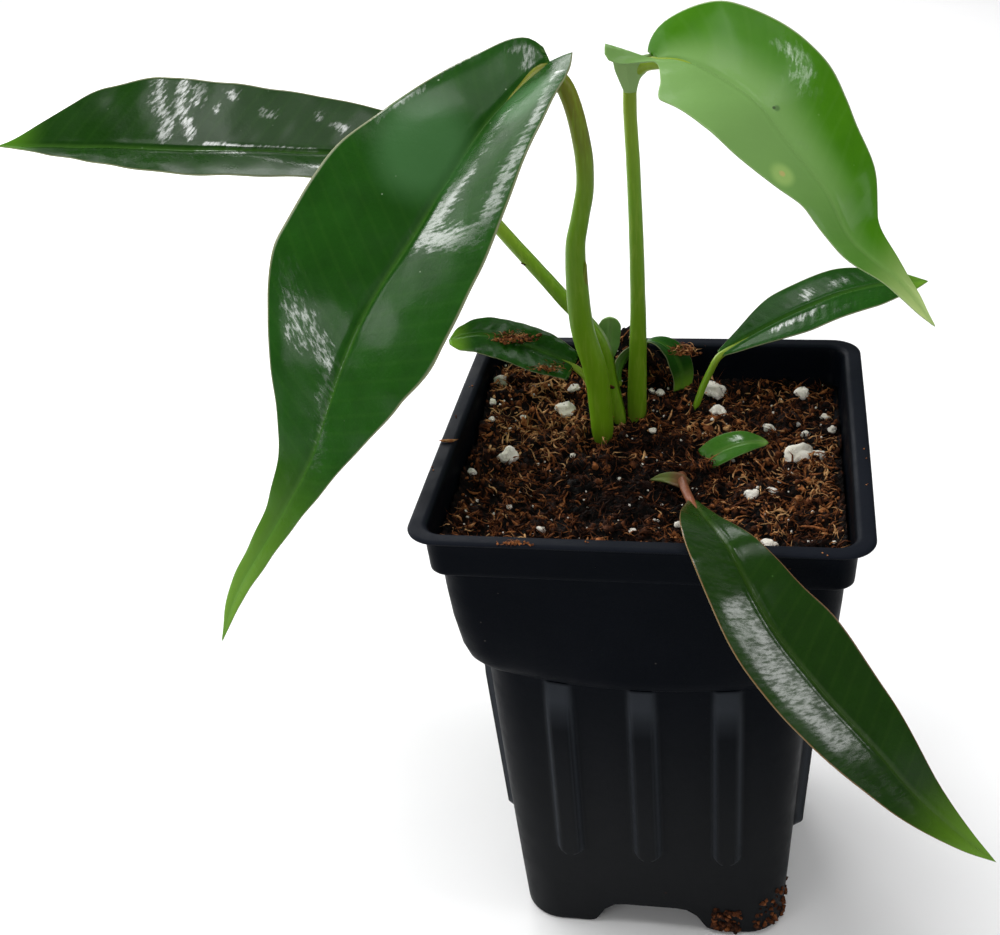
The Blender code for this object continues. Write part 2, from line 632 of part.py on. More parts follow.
CURLED_STALK = dict(
    points=[(-8.8, 28.6, STALK_FOOT), (-10, 32, 112), (-11.6, 35.8, 118.5), (-12.2, 37.4, 124),
            (-12.1, 37.8, 128.5)],
    radii=[(0, 1.1), (0.5, 1.1), (1, 0.9)],
    sides=8, rings=8)
SEEDLING_STALK = dict(
    points=[(-1.5, 19.5, STALK_FOOT), (3, 15, 112), (8, 8, 117.5), (11.2, 5, 120.8),
            (13, 5.4, 122.3), (14.8, 5.9, 123.2)],
    radii=[(0, 0.8), (0.5, 0.8), (1, 0.7)],
    sides=8, rings=8)
PALE_STALK = dict(
    points=[(-13.2, 28, STALK_FOOT), (-14.5, 34, 114), (-15, 39, 122), (-14.6, 41, 130),
            (-14.5, 41, 134)],
    radii=[(0, 1.0), (0.5, 1.0), (1, 0.8)],
    sides=8, rings=8)

SHEATH = dict(
    midrib=[(-11.9, 15.2, 121), (-12.3, 14.8, 130), (-13.4, 14.6, 140), (-16, 14.4, 151.5),
            (-16.6, 14.2, 162), (-16.2, 14, 170.5)],
    face=[(0, (0.8, -0.6, 0)), (1, (0.8, -0.6, 0))],
    left=[(0, 2.6), (0.5, 2.2), (0.85, 1.3), (1, 0)],
    right=[(0, 2.6), (0.5, 2.2), (0.85, 1.3), (1, 0)],
    fold_left=[(0, -25), (1, -10)],
    fold_right=[(0, -25), (1, -10)],
    curl=[(0, -10), (1, -10)],
    sweep_left=[(0, 0), (1, 0)],
    sweep_right=[(0, 0), (1, 0)])

STALKS = [LARGE_STALK, YOUNG_STALK, FAR_LEFT_STALK, RIGHT_STALK, FRONT_STALK, BACK_LEFT_STALK,
          CURLED_STALK, SEEDLING_STALK, PALE_STALK]


def make_stalk(name, stalk, finish, grow=0.0):
    return tube(name, stalk["points"], stalk["radii"], finish, stalk["sides"], stalk["rings"], grow,
                level_foot=True)


def make_small_leaf(name, stalk, leaf, rows, columns, finish):
    """A small leaf and its stalk, grown as one piece."""
    whole = make_blade(name, leaf, rows, columns, finish)
    combine(whole, [make_stalk("stalk", stalk, finish)], "UNION")
    return shade(whole, 60)


def make_leaves():
    large = make_stalk("petiole_large_leaf", LARGE_STALK, STALK_GREEN)
    combine(large, [make_blade("sheath", SHEATH, 8, 2, STALK_GREEN)], "UNION")
    shade(large, 60)
    make_blade("blade_large_leaf", LARGE_LEAF, 22, 4, LEAF_DARK)
    shade(make_stalk("petiole_young_leaf", YOUNG_STALK, STALK_GREEN), 60)
    make_blade("blade_young_leaf", YOUNG_LEAF, 22, 4, LEAF_YOUNG)
    shade(make_stalk("petiole_far_left_leaf", FAR_LEFT_STALK, STALK_GREEN), 60)
    make_blade("blade_far_left_leaf", FAR_LEFT_LEAF, 18, 4, LEAF_DARK)
    shade(make_stalk("petiole_right_leaf", RIGHT_STALK, STALK_GREEN), 60)
    make_blade("blade_right_leaf", RIGHT_LEAF, 14, 3, LEAF_DARK)
    shade(make_stalk("petiole_front_leaf", FRONT_STALK, STALK_RED), 60)
    make_blade("blade_front_leaf", FRONT_LEAF, 22, 3, LEAF_DARK)
    make_small_leaf("back_left_leaf", BACK_LEFT_STALK, BACK_LEFT_LEAF, 10, 3, LEAF_DARK)
    make_small_leaf("curled_leaf", CURLED_STALK, CURLED_LEAF, 14, 2, LEAF_DARK)
    make_small_leaf("seedling_leaf", SEEDLING_STALK, SEEDLING_LEAF, 8, 2, LEAF_DARK)
    make_small_leaf("pale_leaf", PALE_STALK, PALE_LEAF, 6, 2, LEAF_YOUNG)


# The crown and its roots.
ROOTS = [[(-9, 21, 96), (2, 12, 88), (14, 2, 72), (20, -8, 50), (22, -12, 24)],
         [(-9, 21, 94), (-18, 16, 84), (-26, 6, 66), (-28, -6, 44), (-25, -14, 20)],
         [(-9, 22, 92), (-4, 27, 80), (6, 29, 62), (16, 28, 40), (20, 24, 16)],
         [(-9, 21, 92), (-15, 25, 78), (-20, 26, 58), (-21, 22, 34), (-18, 20, 14)],
         [(-9, 21, 90), (-8, 14, 74), (-4, 2, 56), (-2, -14, 38), (-6, -24, 18)]]


def make_rootstock(name, grow=0.0):
    x, y = CROWN
    radii = [(0, 4.0), (0.35, 7.6), (0.8, CROWN_RADIUS), (1, CROWN_RADIUS - 0.4)]
    crown = tube(name, [(x, y, CROWN_BOTTOM), (x, y, 97), (x, y, CROWN_TOP)], radii, ROOT_BARK, 16, 5,
                 grow)
    roots = [tube("root", points, [(0, 2.4), (0.3, 1.9), (1, 0.8)], ROOT_BARK, 6, 7, grow)
             for points in ROOTS]
    return combine(crown, roots, "UNION")


# The soil filling.
PERLITE = [(-32.5, 27.5, 3.6), (-29.5, 1.5, 5.4), (-39.5, -6.0, 3.0), (-33.0, 16.0, 3.0),
           (-23.0, 20.0, 4.4), (16.5, 34.5, 5.2), (15.8, 27.0, 4.6), (37.5, 34.0, 4.2),
           (35.5, 25.5, 2.8), (35.0, 9.5, 7.4), (39.5, 14.0, 3.2), (24.5, -7.0, 4.0),
           (29.5, -6.5, 2.6), (28.5, -25.0, 4.0), (-21.0, -22.5, 2.6), (-13.5, -11.0, 2.6)]


def soil_height(x, y):
    """The uneven top: heaped behind the stems, and a little higher along the wall."""
    heap = 5.5 * math.exp(-((x + 9) / 14) ** 2 - ((y - 47) / 8) ** 2)
    left = 3.2 * math.exp(-((x + 38) / 14) ** 2 - ((y - 38) / 14) ** 2)
    dip = 1.3 * math.exp(-((x - 11) / 8) ** 2 - ((y + 18) / 12) ** 2)
    wall = 1.8 * (max(abs(x), abs(y)) / SOIL_TOP_HALF) ** 6
    rough = 1.3 * noise.noise(Vector((x, y, 0)) * 0.09) + 1.2 * noise.noise(Vector((x, y, 30)) * 0.23)
    return SOIL_LEVEL + heap + left + wall - dip + rough


def terrain_block():
    """A block under the uneven top, wider than the pot and deeper than the soil."""
    shape = bmesh.new()
    bmesh.ops.create_grid(shape, x_segments=SOIL_CELLS, y_segments=SOIL_CELLS, size=LIP_HALF * MM)
    for vertex in shape.verts:
        vertex.co.z = soil_height(vertex.co.x / MM, vertex.co.y / MM) * MM
    top = list(shape.faces)
    lower = bmesh.ops.extrude_face_region(shape, geom=top)["geom"]
    for vertex in (each for each in lower if isinstance(each, bmesh.types.BMVert)):
        vertex.co.z = (FLOOR_TOP - 2.0) * MM
    bmesh.ops.triangulate(shape, faces=shape.faces)
    bmesh.ops.recalc_face_normals(shape, faces=shape.faces)
    return bmesh_object("terrain", shape, SOIL_MIX)


def make_soil():
    rows = [(height, half - CLEARANCE, corner - CLEARANCE, bulge) for height, half, corner, bulge
            in inside_rows()]
    rows[0] = (FLOOR_TOP + CLEARANCE, *rows[0][1:])
    rows.append((LIP_TOP, BAND_TOP_HALF - WALL - CLEARANCE, BAND_CORNER - 0.8, FLAT))
    soil = loft("soil", as_loops(rows), SOIL_MIX)
    combine(soil, [terrain_block()], "INTERSECT")
    combine(soil, foot_pockets("foot_filling", CLEARANCE, SOIL_MIX), "UNION")
    combine(soil, perlite_grains(), "UNION")
    holes = [make_stalk("hole", stalk, SOIL_MIX, CLEARANCE) for stalk in STALKS]
    combine(soil, holes + [make_rootstock("root_space", CLEARANCE)], "DIFFERENCE")
    return shade(soil)


def perlite_grains():
    """White grains half sunk in the top, each a small uneven stone."""
    draw = random.Random(7)
    grains = []
    for x, y, size in PERLITE:
        shape = bmesh.new()
        bmesh.ops.create_icosphere(shape, subdivisions=1, radius=0.5 * size * MM)
        stretch = Vector((draw.uniform(0.8, 1.15), draw.uniform(0.8, 1.15), draw.uniform(0.6, 0.85)))
        centre = Vector((x, y, soil_height(x, y) + 0.1 * size)) * MM
        for vertex in shape.verts:
            vertex.co = centre + vertex.co * stretch * draw.uniform(0.88, 1.12)
        grains.append(bmesh_object("grain", shape, SOIL_MIX))
    return grains


def centre_on_floor():
    """Parents every piece to one empty and moves it, so the outline's middle is the origin."""
    pieces = [each for each in bpy.data.objects if each.type == "MESH"]
    corners = [vertex.co for piece in pieces for vertex in piece.data.vertices]
    low = [min(corner[axis] for corner in corners) for axis in range(3)]
    high = [max(corner[axis] for corner in corners) for axis in range(3)]
    stand = bpy.data.objects.new("stand", None)
    bpy.context.collection.objects.link(stand)
    for piece in pieces:
        piece.parent = stand
    stand.location = (-(low[0] + high[0]) / 2, -(low[1] + high[1]) / 2, -low[2])


make_pot()
make_leaves()
shade(make_rootstock("rootstock"), 50)
make_soil()
centre_on_floor()
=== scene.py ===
# %% [markdown]
# A young philodendron in a square nursery pot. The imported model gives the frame: where
# each piece stands and how large it is. This lesson puts finer pieces in the place of
# the plain ones, gives each a finish, and sets up a small photo studio around them.
# Lengths are written in millimetres from the pot's own axis, and MM turns them into
# Blender's metres.

# %% Load the frame
import math
import random

import bmesh
import bpy
from mathutils import Matrix, Vector, noise


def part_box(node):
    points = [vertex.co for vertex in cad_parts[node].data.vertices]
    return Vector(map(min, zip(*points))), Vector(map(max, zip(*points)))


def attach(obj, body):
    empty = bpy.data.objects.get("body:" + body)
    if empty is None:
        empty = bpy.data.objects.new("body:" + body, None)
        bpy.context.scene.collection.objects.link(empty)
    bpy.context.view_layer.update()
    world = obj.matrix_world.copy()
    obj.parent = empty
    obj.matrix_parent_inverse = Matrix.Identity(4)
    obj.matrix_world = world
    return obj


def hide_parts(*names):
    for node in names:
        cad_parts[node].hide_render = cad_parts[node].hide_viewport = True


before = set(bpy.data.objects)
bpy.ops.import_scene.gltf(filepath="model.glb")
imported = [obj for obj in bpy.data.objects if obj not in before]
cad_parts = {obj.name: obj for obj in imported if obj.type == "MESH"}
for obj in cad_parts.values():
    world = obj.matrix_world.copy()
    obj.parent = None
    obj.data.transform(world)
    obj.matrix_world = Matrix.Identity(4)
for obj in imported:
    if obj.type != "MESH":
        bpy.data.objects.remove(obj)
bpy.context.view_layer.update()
MM = 0.001
BASE_HEIGHT = -1.7
pot_low, pot_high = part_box("pot")
POT_AXIS = Vector(((pot_low.x + pot_high.x) / 2, (pot_low.y + pot_high.y) / 2,
                   pot_low.z - BASE_HEIGHT * MM))
print("nodes in the frame:", len(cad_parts))
print("pot axis in metres:", [round(value, 5) for value in POT_AXIS])

# %% [markdown]
# The camera looks down on the pot from the front right. Its place and its three angles
# were found by matching the pot's lip, ledge and feet. A camera could be aimed with a
# Track To constraint, but then it couldn't roll, so its axes are written out here.

# %% The camera
CAMERA_PLACE = Vector((27.9, -305.3, 307.5))
CAMERA_YAW, CAMERA_PITCH, CAMERA_ROLL = (math.radians(angle) for angle in (-12.22, 30.91, 4.92))
CAMERA_LENS = 52.27


def aim_camera():
    forward = Vector((math.sin(CAMERA_YAW) * math.cos(CAMERA_PITCH),
                      math.cos(CAMERA_YAW) * math.cos(CAMERA_PITCH), -math.sin(CAMERA_PITCH)))
    level = forward.cross(Vector((0, 0, 1))).normalized()
    down = forward.cross(level)
    right = math.cos(CAMERA_ROLL) * level + math.sin(CAMERA_ROLL) * down
    up = math.sin(CAMERA_ROLL) * level - math.cos(CAMERA_ROLL) * down
    turned = Matrix((right, up, -forward)).transposed().to_4x4()
    data = bpy.data.cameras.new("camera")
    data.sensor_width = 36
    data.lens = CAMERA_LENS
    data.clip_start = 0.01
    camera = bpy.data.objects.new("camera", data)
    bpy.context.scene.collection.objects.link(camera)
    camera.matrix_world = Matrix.Translation(POT_AXIS + CAMERA_PLACE * MM) @ turned
    bpy.context.scene.camera = camera
    return camera


print("camera stands at", [round(value, 3) for value in aim_camera().location])

# %% [markdown]
# Most pieces are drawn out the same way as by hand: a circle is added, and then extruded
# again and again, each new ring set to its place. A stalk is such a row of rings, and so
# are the pot's wall and a leaf, whose rings are flat. Ends are closed by rings that
# shrink to a point or a seam, where Merge by Distance welds them.

# %% Draw out a piece ring by ring
WELD = 0.00002


def deselect():
    bpy.ops.object.select_all(action="DESELECT")


def draw_out(name, rings):
    """A closed piece through rings of equally many points, given in millimetres."""
    deselect()
    bpy.ops.mesh.primitive_circle_add(vertices=len(rings[0]), fill_type="NOTHING")
    piece = bpy.context.object
    piece.name = piece.data.name = name
    bpy.ops.object.mode_set(mode="EDIT")
    bpy.ops.mesh.select_all(action="SELECT")
    form = bmesh.from_edit_mesh(piece.data)
    column = form.verts.layers.int.new("column")
    row = form.verts.layers.int.new("row")
    for index, vertex in enumerate(form.verts):
        vertex[column] = index
        vertex.co = POT_AXIS + rings[0][index] * MM
    for number, ring in enumerate(rings[1:], start=1):
        bpy.ops.mesh.extrude_region_move()
        form = bmesh.from_edit_mesh(piece.data)
        column = form.verts.layers.int["column"]
        row = form.verts.layers.int["row"]
        for vertex in list(form.verts)[-len(ring):]:
            vertex.co = POT_AXIS + ring[vertex[column]] * MM
            vertex[row] = number
    bpy.ops.mesh.select_all(action="SELECT")
    bpy.ops.mesh.remove_doubles(threshold=WELD)
    bpy.ops.mesh.dissolve_degenerate(threshold=WELD / 10)
    bpy.ops.mesh.normals_make_consistent(inside=False)
    bpy.ops.object.mode_set(mode="OBJECT")
    bpy.ops.object.shade_smooth()
    return piece


def whole_numbers(piece, name):
    values = [0] * len(piece.data.vertices)
    piece.data.attributes[name].data.foreach_get("value", values)
    return values


def set_attribute(piece, name, values):
    layer = piece.data.attributes.new(name, "FLOAT", "POINT")
    layer.data.foreach_set("value", values)


def join(pieces, name):
    deselect()
    for piece in pieces:
        piece.select_set(True)
    bpy.context.view_layer.objects.active = pieces[0]
    bpy.ops.object.join()
    pieces[0].name = pieces[0].data.name = name
    return pieces[0]


def finish(piece, material, slot, *nodes):
    """Gives a piece its material and its place in the frame."""
    piece.data.materials.clear()
    piece.data.materials.append(material)
    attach(piece, "root")
    if nodes:
        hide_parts(*nodes)
    print(f"{piece.name}: {len(piece.data.polygons)} faces")
    return piece


# %% [markdown]
# Leaves and stalks follow smooth curves through a few points, and their widths come from
# short tables. A Bezier curve with a taper object could do the same, but a table is
# easier to read beside the photograph and to change.

# %% Curves and tables
class Route:
    """A dense line that is read by the share of its length."""

    def __init__(self, points, steps=160):
        points = [Vector(point) for point in points]
        points = [2 * points[0] - points[1], *points, 2 * points[-1] - points[-2]]
        self.dense = []
        each = steps // (len(points) - 3) + 1
        for index in range(1, len(points) - 2):
            for step in range(each):
                self.dense.append(between(points[index - 1:index + 3], step / each))
        self.dense.append(points[-2].copy())
        self.distance = [0.0]
        for before, after in zip(self.dense, self.dense[1:]):
            self.distance.append(self.distance[-1] + (after - before).length)
        self.length = self.distance[-1]

    def at(self, share):
        target = min(max(share, 0.0), 1.0) * self.length
        low, high = 0, len(self.distance) - 1
        while high - low > 1:
            middle = (low + high) // 2
            if self.distance[middle] <= target:
                low = middle
            else:
                high = middle
        span = self.distance[high] - self.distance[low]
        return self.dense[low].lerp(self.dense[high], (target - self.distance[low]) / span)

    def direction(self, share, reach=0.008):
        return (self.at(min(1.0, share + reach)) - self.at(max(0.0, share - reach))).normalized()


def between(points, share):
    """A point of the centripetal curve between the middle two of four points."""
    knots = [0.0]
    for before, after in zip(points, points[1:]):
        knots.append(knots[-1] + math.sqrt((after - before).length))
    at = knots[1] + share * (knots[2] - knots[1])

    def mixed(first, last, start, end):
        return first.lerp(last, (at - knots[start]) / (knots[end] - knots[start]))

    outer = [mixed(points[index], points[index + 1], index, index + 1) for index in range(3)]
    inner = [mixed(outer[index], outer[index + 1], index, index + 2) for index in range(2)]
    return mixed(inner[0], inner[1], 1, 2)


def read_table(rows, share):
    """A smooth value from rows of (share, value), with no overshoot."""
    if share <= rows[0][0]:
        return rows[0][1]
    if share >= rows[-1][0]:
        return rows[-1][1]
    index = max(k for k in range(len(rows) - 1) if rows[k][0] <= share)
    (x0, y0), (x1, y1) = rows[index], rows[index + 1]

    def slope(row):
        if row == 0 or row == len(rows) - 1:
            near = min(row, len(rows) - 2)
            return (rows[near + 1][1] - rows[near][1]) / (rows[near + 1][0] - rows[near][0])
        before = (rows[row][1] - rows[row - 1][1]) / (rows[row][0] - rows[row - 1][0])
        after = (rows[row + 1][1] - rows[row][1]) / (rows[row + 1][0] - rows[row][0])
        return 0.0 if before * after <= 0 else 2 * before * after / (before + after)

    width = x1 - x0
    s = (share - x0) / width
    start = (2 * s ** 3 - 3 * s ** 2 + 1) * y0 + (s ** 3 - 2 * s ** 2 + s) * slope(index) * width
    end = (3 * s ** 2 - 2 * s ** 3) * y1 + (s ** 3 - s ** 2) * slope(index + 1) * width
    return start + end


def smooth_step(low, high, value):
    share = min(max((value - low) / (high - low), 0.0), 1.0)
    return share * share * (3 - 2 * share)


def bump(distance, width):
    return math.exp(-(distance / width) ** 2)


# %% [markdown]
# A material is a small graph of nodes. These helpers add a node, feed its sockets and
# return an output, so that a finish reads from top to bottom. Effects that several
# materials share are node groups: a mottle of two tones, small specks, and the fine
# pebbled skin that breaks up the shine of a leaf.

# %% Node helpers
def put(tree, kind, feeds=None, **settings):
    node = tree.nodes.new(kind)
    for key, value in settings.items():
        setattr(node, key, value)
    for key, value in (feeds or {}).items():
        if isinstance(value, bpy.types.NodeSocket):
            tree.links.new(value, node.inputs[key])
        else:
            node.inputs[key].default_value = value
    return node


def calculate(tree, operation, first, second=0.0, third=0.0, clamp=False):
    node = put(tree, "ShaderNodeMath", {0: first, 1: second, 2: third}, operation=operation)
    node.use_clamp = clamp
    return node.outputs[0]


def mix(tree, factor, first, second):
    node = put(tree, "ShaderNodeMix", {0: factor, 6: first, 7: second}, data_type="RGBA")
    return node.outputs[2]


def fade(tree, value, low, high, start=0.0, end=1.0):
    node = put(tree, "ShaderNodeMapRange", {0: value, 1: low, 2: high, 3: start, 4: end},
               interpolation_type="SMOOTHSTEP")
    return node.outputs[0]


def attribute(tree, name):
    return put(tree, "ShaderNodeAttribute", attribute_name=name).outputs["Fac"]


def tone(red, green, blue):
    """A colour from the usual 0 to 255 scale, as the linear light that sockets take."""
    linear = [((value / 255 + 0.055) / 1.055) ** 2.4 if value > 10 else value / 255 / 12.92
              for value in (red, green, blue)]
    return (*linear, 1.0)


def new_group(name, inputs, output):
    tree = bpy.data.node_groups.new(name, "ShaderNodeTree")
    for label, value in inputs.items():
        socket = tree.interface.new_socket(label, in_out="INPUT", socket_type="NodeSocketFloat")
        socket.default_value = value
    tree.interface.new_socket(output, in_out="OUTPUT", socket_type="NodeSocketFloat")
    entry = tree.nodes.new("NodeGroupInput")
    leave = tree.nodes.new("NodeGroupOutput")
    return tree, entry.outputs, leave.inputs[0]


def use_group(tree, group, **values):
    node = tree.nodes.new("ShaderNodeGroup")
    node.node_tree = group
    for label, value in values.items():
        node.inputs[label.replace("_", " ").capitalize()].default_value = value
    return node.outputs[0]


def new_material(name, roughness, **values):
    made = bpy.data.materials.new(name)
    made.use_nodes = True
    shader = made.node_tree.nodes["Principled BSDF"]
    shader.inputs["Roughness"].default_value = roughness
    for label, value in values.items():
        shader.inputs[label.replace("_", " ")].default_value = value
    return made, made.node_tree, shader.inputs


# %% The shared effects
def make_mottle():
    tree, entry, leave = new_group("mottle", {"Size": 5.0, "Contrast": 1.0}, "Mask")
    place = put(tree, "ShaderNodeTexCoord").outputs["Object"]
    scale = calculate(tree, "DIVIDE", 1 / MM, entry["Size"])
    cloud = put(tree, "ShaderNodeTexNoise", {"Vector": place, "Scale": scale, "Detail": 4.0,
                                             "Roughness": 0.6}).outputs["Fac"]
    centred = calculate(tree, "SUBTRACT", cloud, 0.5)
    spread = calculate(tree, "MULTIPLY_ADD", centred, entry["Contrast"], 0.5, clamp=True)
    tree.links.new(spread, leave)
    return tree


def make_specks():
    tree, entry, leave = new_group("specks", {"Spacing": 3.0, "Size": 0.2, "Share": 0.5}, "Mask")
    place = put(tree, "ShaderNodeTexCoord").outputs["Object"]
    scale = calculate(tree, "DIVIDE", 1 / MM, entry["Spacing"])
    cells = put(tree, "ShaderNodeTexVoronoi", {"Vector": place, "Scale": scale})
    chance = put(tree, "ShaderNodeSeparateColor", {0: cells.outputs["Color"]})
    chosen = calculate(tree, "LESS_THAN", chance.outputs[0], entry["Share"])
    radius = calculate(tree, "MULTIPLY", chance.outputs[1], entry["Size"])
    near = calculate(tree, "SUBTRACT", radius, cells.outputs["Distance"])
    edge = fade(tree, near, 0.0, 0.08)
    tree.links.new(calculate(tree, "MULTIPLY", edge, chosen), leave)
    return tree


def make_skin():
    settings = {"Pebble": 0.8, "Wrinkle": 2.5, "Wrinkle share": 0.5}
    tree, entry, leave = new_group("skin", settings, "Height")
    place = put(tree, "ShaderNodeTexCoord").outputs["Object"]
    fine = calculate(tree, "DIVIDE", 1 / MM, entry["Pebble"])
    broad = calculate(tree, "DIVIDE", 1 / MM, entry["Wrinkle"])
    pebble = put(tree, "ShaderNodeTexNoise", {"Vector": place, "Scale": fine, "Detail": 2.0,
                                              "Roughness": 0.55}).outputs["Fac"]
    wrinkle = put(tree, "ShaderNodeTexNoise", {"Vector": place, "Scale": broad, "Detail": 3.0,
                                               "Distortion": 0.6}).outputs["Fac"]
    tall = calculate(tree, "MULTIPLY", wrinkle, entry["Wrinkle share"])
    tree.links.new(calculate(tree, "ADD", pebble, tall), leave)
    return tree


MOTTLE, SPECKS, SKIN = make_mottle(), make_specks(), make_skin()
print("node groups:", [group.name for group in (MOTTLE, SPECKS, SKIN)])

# %% [markdown]
# The pot is thin moulded plastic, almost black with a breath of blue. It is satin, not
# shiny: dust, fine scratches and the grain of the mould break its reflections. Tiny
# crumbs and pale dust specks stick to its lower part. Its colour also carries painted
# light: painted highlights on the top of the lip and along the rib flanks, and painted
# light from the floor that makes the lower part paler and warmer.

# %% Pot plastic
def bump_into(tree, sockets, height, distance):
    node = put(tree, "ShaderNodeBump", {"Height": height, "Distance": distance, "Strength": 1.0})
    tree.links.new(node.outputs[0], sockets["Normal"])


def make_pot_plastic():
    made, tree, sockets = new_material("pot_plastic", 0.4, Specular_IOR_Level=0.02)
    cloud = use_group(tree, MOTTLE, size=14.0, contrast=1.6)
    body = mix(tree, cloud, tone(5, 8, 13), tone(8, 11, 17))
    place = put(tree, "ShaderNodeTexCoord").outputs["Object"]
    height = put(tree, "ShaderNodeSeparateXYZ", {0: place}).outputs[2]
    low = fade(tree, height, 0.10, 0.02)
    # The top of the lip is painted lighter: a painted highlight where it faces the lights.
    lip = calculate(tree, "MULTIPLY", fade(tree, height, 0.1328, 0.1334), 0.8)
    body = mix(tree, lip, body, tone(26, 29, 36))
    # The lower part is painted lighter and warmer: painted light thrown up from the floor. The same
    # height mask keeps the crumbs low.
    painted_floor_bounce = mix(tree, calculate(tree, "MULTIPLY", low, 0.7), body, tone(33, 34, 35))
    # Pale lines on the rib flanks are painted highlights.
    painted_rib_sheen = calculate(tree, "MULTIPLY", attribute(tree, "painted_rib_sheen"), 0.45)
    painted_rib_sheen = mix(tree, painted_rib_sheen, painted_floor_bounce, tone(64, 68, 74))
    dust = use_group(tree, SPECKS, spacing=5.0, size=0.07, share=0.35)
    dusty = mix(tree, calculate(tree, "MULTIPLY", dust, 0.4), painted_rib_sheen, tone(110, 104, 98))
    crumbs = use_group(tree, SPECKS, spacing=9.0, size=0.07, share=0.5)
    low_crumbs = calculate(tree, "MULTIPLY", crumbs, low)
    tree.links.new(mix(tree, low_crumbs, dusty, tone(58, 36, 24)), sockets["Base Color"])
    haze = use_group(tree, MOTTLE, size=6.0, contrast=2.0)
    tree.links.new(fade(tree, haze, 0.0, 1.0, 0.34, 0.5), sockets["Roughness"])
    grain = use_group(tree, SKIN, pebble=0.35, wrinkle=3.0, wrinkle_share=1.0)
    bump_into(tree, sockets, grain, 0.00004)
    return made


POT_PLASTIC = make_pot_plastic()

# %% [markdown]
# The wall's rings start under the middle of the floor, run out to the feet, up the
# outside, over the lip and down the inside. The feet are left standing by arched
# notches, so the lowest rings climb over each arch. Three ribs on each side are a
# swelling of the wall with sloped flanks and a round lower end.

# %% The pot's measures
WALL = 1.2
LIP_TOP = 132.0
LIP_HALF = 51.0
LEDGE_HEIGHT = 86.5
BASE_HALF, BASE_CORNER = 34.7, 10.5
LEDGE_HALF, LEDGE_CORNER, LEDGE_BULGE = 42.3, 12.0, 1.6
UPPER_EDGE = LEDGE_HALF + 0.7
FLAT = 0.03
RIB_BOTTOM, RIB_PROUD = 25.5, 2.4
RIB_FOOT, RIB_TOP = 3.9, 2.1
RIB_PLACES = (-20.0, 0.0, 20.0)
ARCH = [(7.0, 6.3), (8.5, 6.1), (10.2, 5.5), (12.0, 3.7), (13.6, 0.9), (15.0, -1.2), (16.2, -1.7)]
ARCH_REACH = 12.0
CORNER_STEPS = 10
FLAT_END, FLAT_INNER = 26.0, 25.0
BULGE_REACH = 20.0
RIB_HEAD, RIB_HEAD_PROUD = 73.5, 0.75
DRAIN_RADIUS, DRAIN_RING, DRAIN_MIDDLE, DRAIN_DEPTH = 3.5, 21, 7, 12
FLOOR_SHARES = [0.0, 0.06, 0.12, 0.18, 0.23, 0.27, 0.31, 0.35, 0.39, 0.43, 0.47, 0.52, 0.6, 0.7,
                0.8, 0.9, 0.97]
INNER_SHARES = [0.97, 0.9, 0.8, 0.7, 0.6, 0.5, 0.45, 0.4, 0.35, 0.3, 0.2, 0.1, 0.0]
WALL_HEIGHTS = [-1.1, -0.3, 1, 2.5, 4, 6, 8, 10, 12, 15, 18, 21, 23.5, 25, 25.8, 26.6, 27.4, 28.2,
                29, 30, 31.5, 34, 38, 44, 52, 60, 67, 72, 77, 81, 84, 85.6, LEDGE_HEIGHT]


def side_places():
    """Places along one side: close together at the ribs, wider between them."""
    places = [-FLAT_END, -25.2]
    for centre in RIB_PLACES:
        places += [centre + step * 0.6 for step in range(-8, 9)]
        places += [centre + 7.0, centre + 10.0, centre + 13.0]
    return [place for place in places if place < FLAT_INNER] + [25.2, FLAT_END]


SIDE_PLACES = side_places()
COLUMNS = [(turn, "side", place) for turn in range(4) for place in SIDE_PLACES]
COLUMNS += [(turn, "corner", step / CORNER_STEPS) for turn in range(4)
            for step in range(1, CORNER_STEPS)]
COLUMNS.sort(key=lambda column: (column[0], column[1] == "corner", column[2]))


def lower_wall(height):
    share = (height - BASE_HEIGHT) / (LEDGE_HEIGHT - BASE_HEIGHT)
    return (BASE_HALF + share * (LEDGE_HALF - BASE_HALF),
            BASE_CORNER + share * (LEDGE_CORNER - BASE_CORNER), FLAT + share * (LEDGE_BULGE - FLAT))


def rib_swell(across, height):
    top = RIB_PROUD - (RIB_PROUD - RIB_HEAD_PROUD) * smooth_step(RIB_HEAD, LEDGE_HEIGHT, height)
    swell = 0.0
    for place in RIB_PLACES:
        away = abs(across - place)
        below = RIB_BOTTOM + RIB_FOOT - height
        if below > 0:
            away = math.hypot(away, below)
        swell = max(swell, top * smooth_step(RIB_FOOT, RIB_TOP, away))
    return swell


def wall_point(column, half, corner, bulge, swell=0.0):
    """Where a column crosses a square with round corners and slightly arched sides."""
    turn, kind, value = column
    radius = BULGE_REACH ** 2 / (2 * bulge)
    lean = math.acos((radius - half) / (radius - corner) / math.sqrt(2)) - math.radians(45)
    middle = (radius - corner) * math.sin(lean)
    if kind == "side":
        end = radius * math.sin(lean)
        across = value * min(1.0, end / FLAT_END)
        if abs(value) > FLAT_INNER:
            across = math.copysign(end - (FLAT_END - abs(value)), value)
        point = Vector((across, -(half - radius + math.sqrt(radius ** 2 - across ** 2)) - swell, 0))
    else:
        angle = -math.radians(90) + lean + (math.radians(90) - 2 * lean) * value
        point = Vector((middle + corner * math.cos(angle), -middle + corner * math.sin(angle), 0))
    for _ in range(turn):
        point = Vector((-point.y, point.x, 0))
    return point


def underside(x, y):
    return max(read_table(ARCH, abs(x)), read_table(ARCH, abs(y)))


